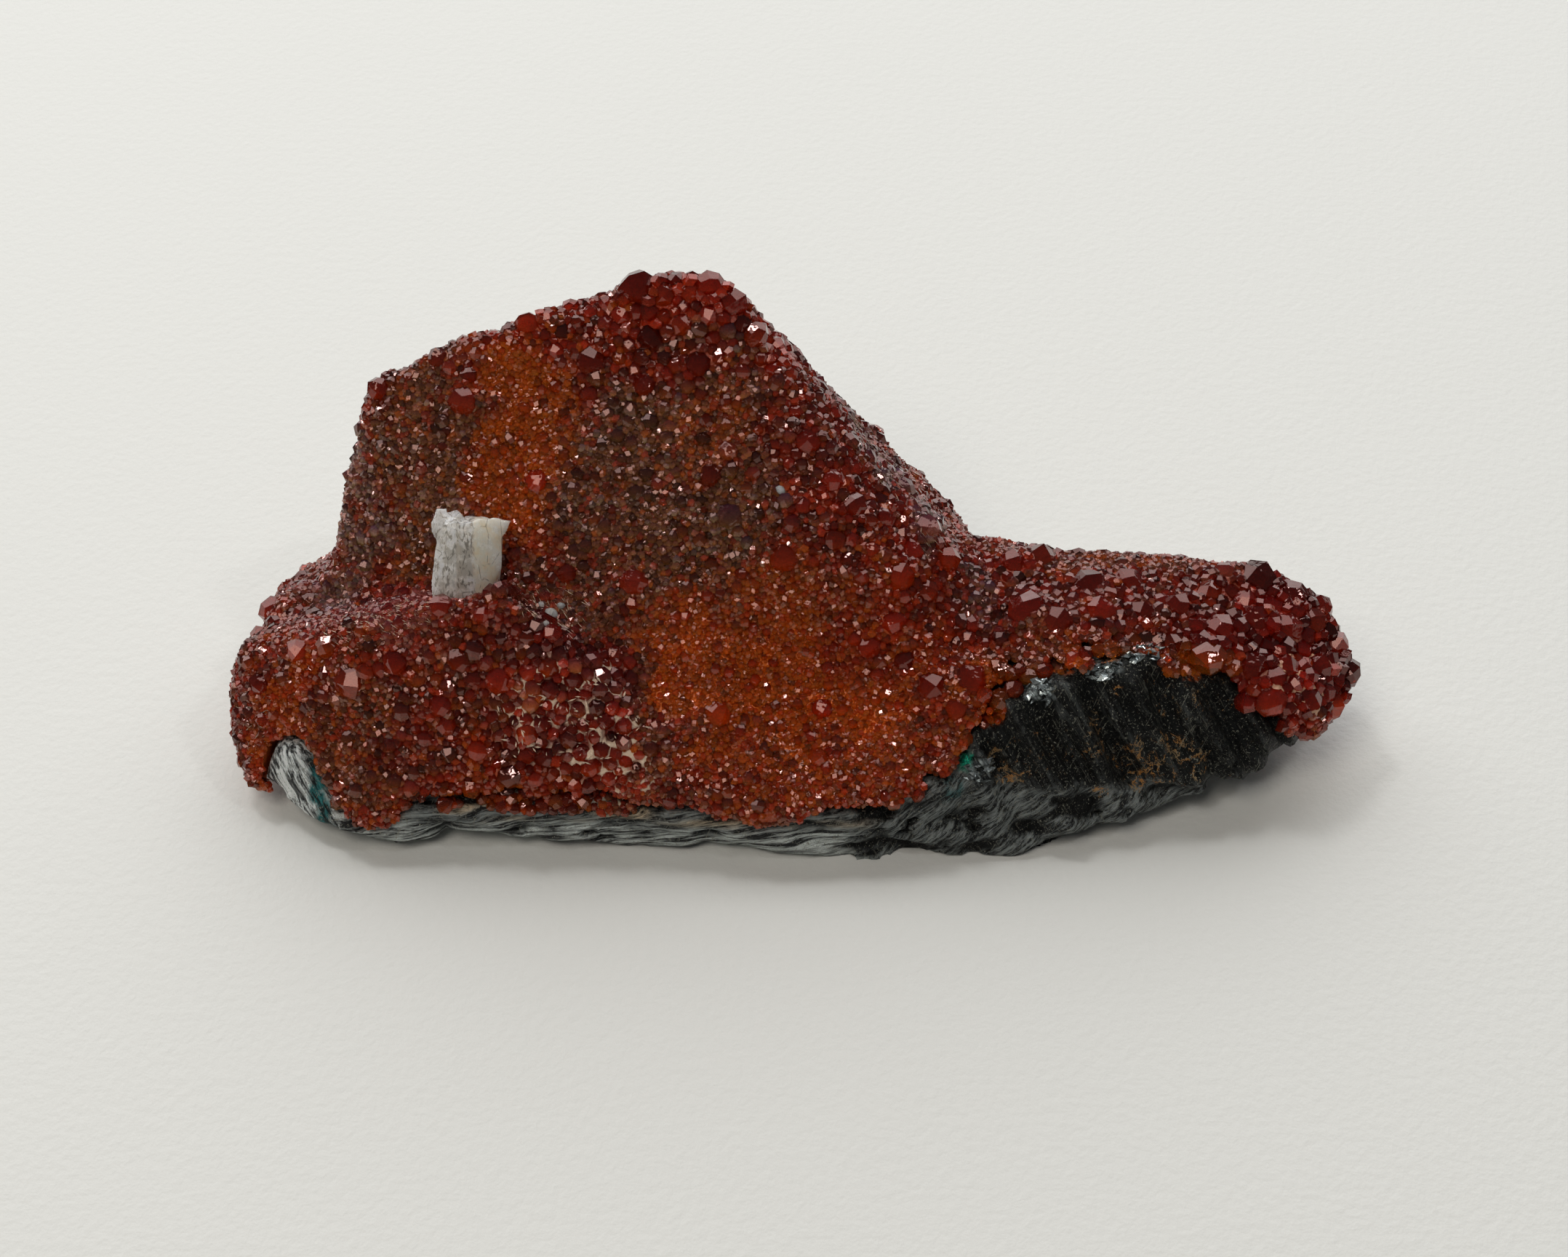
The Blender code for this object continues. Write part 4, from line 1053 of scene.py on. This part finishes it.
class SPECIMEN_OT_garnets(bpy.types.Operator):
    """Set the larger garnets in the druse"""

    bl_idname = "specimen.garnets"
    bl_label = "Large garnets"

    def execute(self, context):
        seed = context.scene.specimen_druse.seed
        clear = garnet_material("clear_garnet", 0.84, 0.04, 0.08, 0.60)
        rounded = trapezohedron()
        # The last number of each round is its painted glow: how much lighter and more orange each crystal
        # is painted at its lower front, and how much darker at its top
        set_garnets("large_garnets", rounded, LARGE_ROUND, seed, clear, (0.12, 0.32), 0.10, 1.0, main=True)
        set_garnets("scattered_garnets", rounded, ACCENT_ROUND, seed + 7, clear, (0.05, 0.25), 0.12, 1.0)
        set_garnets("medium_garnets", rounded, MEDIUM_ROUND, seed + 1, clear, (0.02, 0.25), 0.15, 0.8)
        return {"FINISHED"}


class SPECIMEN_OT_grains(bpy.types.Operator):
    """Cover the rest of the druse with fine grains"""

    bl_idname = "specimen.grains"
    bl_label = "Fine grains"

    def execute(self, context):
        druse, chance = BUILT["druse"], np.random.default_rng(context.scene.specimen_druse.seed + 2)
        faces, places, widths = druse.seat(FINE_ROUND, chance)
        depths = chance.uniform(-0.10, 0.20, len(faces)) * widths
        centres = places - druse.normals[faces] * depths[:, None]
        turns = random_turns(len(faces), chance)
        sizes = widths[:, None] * chance.uniform(0.85, 1.25, (len(faces), 3))
        colours = with_alpha(drawn_tints(druse.mixes[faces], chance), chance.random((len(faces), 1)))
        material = garnet_material("sugary_garnet", 0.66, 0.07, 0.16, 0.20)
        order = np.argsort(centres[:, 0])
        coarse, fine = order[widths[order] >= 0.26 * MM], order[widths[order] < 0.26 * MM]
        parts = [("small_garnets", dodecahedron(), part) for part in np.array_split(coarse, 3)]
        parts += [("sugar_grains", octahedron(), part) for part in np.array_split(fine, 2)]
        for i, (name, shape, part) in enumerate(parts):
            # The 0.5 at the end gives the grains a weaker painted glow: lighter and more orange at their
            # lower front, darker at their top
            piece = crystal_piece(f"{name}_{i + 1}", shape, centres[part], turns[part],
                                  sizes[part], colours[part], 0.5)
            finish_piece(piece, material)
        return {"FINISHED"}


class SPECIMEN_OT_flakes(bpy.types.Operator):
    """Lay pale flakes and hairs between the crystals"""

    bl_idname = "specimen.flakes"
    bl_label = "Pale flakes"

    def execute(self, context):
        druse, chance = BUILT["druse"], np.random.default_rng(context.scene.specimen_druse.seed + 3)
        centres, turns, sizes, colours = [], [], [], []
        for middle, reach, tries, length, thick, tint, way in FLAKES:
            faces, places = druse.spots(tries * 60, chance)
            far = np.linalg.norm((places / MM - middle) / reach, axis=1)
            kept = np.flatnonzero(far < chance.uniform(0.5, 1.0, len(far)))[:tries]
            normals, count = druse.normals[faces[kept]], len(kept)
            ways = chance.normal(size=(count, 3)) * (1.0 if way is None else 0.30)
            ways += 0.0 if way is None else Vector(way).normalized()
            ways -= normals * (ways * normals).sum(1, keepdims=True) * 0.9
            raised = druse.widths[faces[kept]] * chance.uniform(0.28, 0.46, count)
            centres.append(places[kept] + normals * raised[:, None])
            turns.append(turns_along(ways, chance))
            widths = chance.uniform(0.6, 1.5, (count, 1)) * [length, thick, thick] * MM
            sizes.append(widths * chance.uniform(0.8, 1.25, (count, 3)))
            light = chance.uniform(0.6, 1.25, (count, 1))
            colours.append(with_alpha(np.array([TINTS[tint]]) * light))
        parts = [np.concatenate(part) for part in (centres, turns, sizes, colours)]
        piece = crystal_piece("pale_flakes", octahedron(), *parts)
        finish_piece(piece, flake_material())
        return {"FINISHED"}


def ore_spots(points, kinds):
    """How strongly the spots of some kinds cover each point."""
    wander = noise_vectors(points / 0.7) * 0.45
    cover = np.zeros(len(points))
    for middle, reach, strength, kind in ORE_SPOTS:
        if kind in kinds:
            far = np.linalg.norm((points + wander - middle) / reach, axis=1)
            cover = np.maximum(cover, strength * (1.0 - ease(0.7, 1.1, far)))
    return cover


def ore_zones(points):
    """Shares of the broken face, the chip and the layered edge at each point."""
    x, y, z = points.T
    wander = noise_at(points / 1.5, 4.0) * 0.7
    broken = ease(8.6, 9.6, x + wander) * ease(2.6, 3.3, z + 0.10 * (x - 16.0) + wander * 0.3)
    chip = ease(23.6, 24.4, -x) * (1.0 - ease(-7.5, -6.5, y))
    layered = (1.0 - broken) * (1.0 - chip)
    return broken, chip, layered


class SPECIMEN_OT_ore(bpy.types.Operator):
    """Model the ore with its fibres, layers and pits"""

    bl_idname = "specimen.ore"
    bl_label = "Fibrous ore"

    def execute(self, context):
        piece = copy_node("fibrous_ore", "ore_matrix")
        remesh(piece, context.scene.specimen_ore.grid)
        mesh = piece.data
        places, normals = read_array(mesh.vertices, "co"), read_array(mesh.vertices, "normal")
        points = places / MM
        broken, chip, layered = ore_zones(points)
        height = self.relief(points, broken, chip, layered)
        crust = tree_of(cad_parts["garnet_crust"].data)
        gap = np.array([crust.find_nearest(Vector(place))[3] for place in places]) / MM
        height = np.minimum(height, height * ease(0.25, 0.9, gap))
        flat = (normals[:, 2] < -0.8) & (points[:, 2] < 0.4)
        moved = places + normals * (height * ~flat)[:, None] * MM
        low, high = (np.array(corner) for corner in CAD_BOX)
        moved = np.clip(moved, low + np.array((0.00001, 0.00001, 0.0)), high - 0.00001)
        mesh.vertices.foreach_set("co", moved.astype(np.float32).ravel())
        mesh.update()
        self.colour(mesh, points, broken, chip, layered)
        activate(piece)
        bpy.ops.object.shade_smooth_by_angle(angle=math.radians(38.0))
        finish_piece(piece, ore_material())
        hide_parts("ore_matrix")
        BUILT["ore"] = mesh
        print("ore", len(mesh.polygons) * 2, "triangles")
        self.ledge_flakes(mesh)
        return {"FINISHED"}

    def ledge_flakes(self, mesh):
        """Bright slivers of ore that stand on the ledge above the broken face."""
        chance = np.random.default_rng(LEDGE_SEED)
        places, normals = read_array(mesh.vertices, "co"), read_array(mesh.vertices, "normal")
        centres, ways, sizes = [], [], []
        for middle, reach, count, long in LEDGE_FLAKES:
            far = np.linalg.norm((places / MM - middle) / reach, axis=1)
            near = np.flatnonzero(far < 1.0)
            if len(near) == 0:
                raise RuntimeError(f"no ore near the ledge's flakes at {middle}")
            chosen = chance.choice(near, count)
            centres.append(places[chosen] + normals[chosen] * chance.uniform(0.0, 0.10, (count, 1)) * MM)
            ways.append(chance.normal(size=(count, 3)) * 0.35 + (0.9, 0.1, 0.3))
            sizes.append(chance.uniform(0.6, 1.3, (count, 3)) * [long, 0.30, 0.14] * MM)
        centres, ways, sizes = (np.concatenate(part) for part in (centres, ways, sizes))
        light = chance.uniform(0.5, 1.2, (len(centres), 1))
        colours = with_alpha(np.array([ORE_LOOKS["steel"]]) * light)
        piece = crystal_piece("ledge_flakes", octahedron(), centres, turns_along(ways, chance),
                              sizes, colours)
        finish_piece(piece, steel_material())

    def relief(self, points, broken, chip, layered):
        """How far the surface goes out from the solid, in mm."""
        along, across, third = points @ FIBRE, points @ ACROSS, points @ THIRD
        strands = noise_at(np.stack([along / 4.5, across / 0.55, third / 0.9], axis=1))
        ribs = self.ribs(points)
        lumps = noise_at(points / 1.3, 3.0)
        shelf = ease(2.0, 5.0, points[:, 0])
        level = points[:, 2] + shelf * (0.3 * points[:, 2] - 0.75 * points[:, 0])
        sheets = noise_at(np.stack([points[:, 0] / 3.2, points[:, 1] / 2.6, level / 0.42], axis=1), 5.0)
        pits = self.pits(points)
        height = RELIEF_MM["swell"] + RELIEF_MM["lumps"] * lumps
        height += broken * (RELIEF_MM["strands"] * strands + RELIEF_MM["ribs"] * ribs)
        height += chip * RELIEF_MM["chip"] * strands
        height += layered * (RELIEF_MM["sheets"] * sheets + RELIEF_MM["pits"] * pits)
        far = np.linalg.norm((points - BACK_HOLLOW[0]) / BACK_HOLLOW[1], axis=1)
        height += RELIEF_MM["hollow"] * (1.0 - ease(0.6, 1.1, far))
        return height

    def pits(self, points):
        """Small hollows of uneven depth, gathered in patches, from 0 to 1."""
        small = ease(0.20, 0.5, noise_at(points / (1.1, 0.8, 0.5), 7.0))
        large = ease(0.10, 0.5, noise_at(points / (2.4, 2.0, 0.9), 14.0))
        return np.maximum(small * ease(-0.15, 0.35, noise_at(points / 3.6, 12.0)), large * 0.8)

    def ribs(self, points):
        """Blocky ridges along the fibres, from about -1 to 1."""
        along, across, third = points @ FIBRE, points @ ACROSS, points @ THIRD
        return 1.0 - np.abs(noise_at(np.stack([along / 8.0, across / 1.5, third / 3.0], axis=1), 9.0)) * 3.6

    def colour(self, mesh, points, broken, chip, layered):
        """Paints the tint, and the metal, roughness and fibre shares."""
        looks = {name: np.array(value) for name, value in ORE_LOOKS.items()}
        tint = np.tile(looks["grey"], (len(points), 1))
        shelf = ease(2.0, 5.0, points[:, 0])
        edge = layered * (1.0 - shelf) * (1.0 - ease(3.6, 4.4, points[:, 2]))
        edge *= ease(0.0, 0.6, -points[:, 1] - 9.0)
        sheets = ease(-0.1, 0.3, noise_at(points / (3.5, 3.0, 0.5), 2.0))
        tint += (looks["straw"] - tint) * (edge * sheets * ease(1.7, 2.3, points[:, 2]) * 0.8)[:, None]
        tint += (looks["pale"] - tint) * (edge * (1.0 - ease(1.5, 2.2, points[:, 2])) * 0.9)[:, None]
        # Painted shade: the pits in the layered edge are painted black, as shade falls in them; the broken
        # face is black of its own
        pits = ease(0.0, 0.6, self.pits(points)) * layered
        tint += (looks["black"] - tint) * np.maximum(broken, pits)[:, None]
        # Painted highlight: the crests of the broken face's ridges are painted lighter than the black
        # between them, as the light picks them out
        crest_highlights = ease(0.55, 0.98, self.ribs(points)) * broken
        tint += (looks["crest_highlight"] - tint) * crest_highlights[:, None]
        tint += (looks["silver"] - tint) * chip[:, None]
        metal = 0.15 + 0.2 * broken
        rough = 0.50 - 0.20 * broken - 0.04 * chip
        for kind in ("teal", "green", "steel", "rust"):
            cover = ore_spots(points, (kind,))
            if kind == "steel":
                cover *= ease(-0.15, 0.12, noise_at(points / 0.4, 3.0))
            tint += (looks[kind] - tint) * cover[:, None]
            shine = kind in ("steel", "green")
            metal += ((0.85 if shine else 0.1) - metal) * cover
            rough += ((0.26 if shine else 0.6) - rough) * cover
        fibres = np.clip(broken + chip, 0.0, 1.0)
        crumbs = np.maximum(0.16 * broken + 0.08 * edge, ore_spots(points, ("tan",)))
        paint(mesh, "tint", with_alpha(tint, (shelf * (1.0 - broken))[:, None]))
        paint(mesh, "look", with_alpha(np.stack([metal, rough, fibres], axis=1), crumbs[:, None]))


class SPECIMEN_OT_quartz(bpy.types.Operator):
    """Model the broken quartz crystal and the pale grains near it"""

    bl_idname = "specimen.quartz"
    bl_label = "Quartz crystal"

    def execute(self, context):
        piece = copy_node("quartz_blades", "quartz_crystal")
        remesh(piece, context.scene.specimen_ore.quartz_grid)
        mesh = piece.data
        places, normals = read_array(mesh.vertices, "co"), read_array(mesh.vertices, "normal")
        points = places / MM
        ridges = noise_at(points / (0.45, 0.45, 2.6), 2.0) * 0.05
        chips = noise_at(points / 0.5, 6.0) * 0.09 * ease(12.8, 14.2, points[:, 2])
        moved = places + normals * (ridges + chips - 0.02)[:, None] * MM
        mesh.vertices.foreach_set("co", moved.astype(np.float32).ravel())
        mesh.update()
        activate(piece)
        bpy.ops.object.shade_smooth_by_angle(angle=math.radians(22.0))
        material = quartz_material()
        finish_piece(piece, material)
        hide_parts("quartz_crystal")
        chance = np.random.default_rng(QUARTZ_SEED)
        rows = np.array(QUARTZ_GRAINS) * MM
        turns = random_turns(len(rows), chance)
        sizes = rows[:, 3:] * chance.uniform(0.7, 1.2, (len(rows), 3))
        grains = crystal_piece("quartz_grains", trapezohedron(), rows[:, :3], turns, sizes,
                               np.ones((len(rows), 4)))
        finish_piece(grains, material)
        return {"FINISHED"}


class SPECIMEN_OT_stage(bpy.types.Operator):
    """Set up the floor, the light and the camera"""

    bl_idname = "specimen.stage"
    bl_label = "Stage"

    def execute(self, context):
        props = context.scene.specimen_stage
        scene = context.scene
        bpy.ops.mesh.primitive_plane_add(size=6.0, location=(0.0, 0.0, 0.0))
        floor = context.active_object
        floor.name = "floor"
        floor.data.materials.append(floor_material(props.floor_colour))
        world = bpy.data.worlds.new("soft_room")
        world.use_nodes = True
        back = world.node_tree.nodes["Background"]
        back.inputs["Color"].default_value = ROOM_COLOUR
        back.inputs["Strength"].default_value = ROOM_STRENGTH
        scene.world = world
        for row in LAMPS:
            self.lamp(*row)
        bpy.ops.object.camera_add(location=CAMERA_PLACE,
                                  rotation=(math.pi / 2 - props.elevation, 0.0, 0.0))
        camera = context.active_object
        camera.data.lens = props.lens
        camera.data.sensor_width = 36.0
        camera.data.clip_start = 0.005
        scene.camera = camera
        scene.view_settings.view_transform = "Standard"
        return {"FINISHED"}

    def lamp(self, name, place, sizes, power, colour):
        """A soft rectangular lamp that looks at the specimen."""
        bpy.ops.object.light_add(type="AREA", location=place)
        lamp = bpy.context.active_object
        lamp.name = name
        lamp.data.shape = "RECTANGLE"
        lamp.data.size, lamp.data.size_y = sizes
        lamp.data.energy = power
        lamp.data.color = colour
        lamp.rotation_euler = Vector(place).to_track_quat("Z", "Y").to_euler()


class SPECIMEN_PT_panel(bpy.types.Panel):
    """Lists the specimen's operators and sizes"""

    bl_idname = "SPECIMEN_PT_panel"
    bl_label = "Garnet in matrix"
    bl_space_type = "VIEW_3D"
    bl_region_type = "UI"
    bl_category = "Specimen"

    def draw(self, context):
        for operator in OPERATORS:
            self.layout.operator(operator.bl_idname)
        for name in GROUPS:
            group = getattr(context.scene, name)
            for field in group.__annotations__:
                self.layout.prop(group, field)


OPERATORS = [
    SPECIMEN_OT_ore,
    SPECIMEN_OT_skin,
    SPECIMEN_OT_garnets,
    SPECIMEN_OT_grains,
    SPECIMEN_OT_flakes,
    SPECIMEN_OT_quartz,
    SPECIMEN_OT_stage,
]
GROUPS = {"specimen_druse": DruseProps, "specimen_ore": OreProps, "specimen_stage": StageProps}


def register():
    for group in GROUPS.values():
        bpy.utils.register_class(group)
    for operator in OPERATORS:
        bpy.utils.register_class(operator)
    bpy.utils.register_class(SPECIMEN_PT_panel)
    for name, group in GROUPS.items():
        setattr(bpy.types.Scene, name, PointerProperty(type=group))


def unregister():
    for name in GROUPS:
        delattr(bpy.types.Scene, name)
    bpy.utils.unregister_class(SPECIMEN_PT_panel)
    for item in reversed([*GROUPS.values(), *OPERATORS]):
        bpy.utils.unregister_class(item)


def main():
    register()
    for operator in OPERATORS:
        family, name = operator.bl_idname.split(".")
        getattr(getattr(bpy.ops, family), name)()
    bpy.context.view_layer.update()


if __name__ == "__main__":
    main()
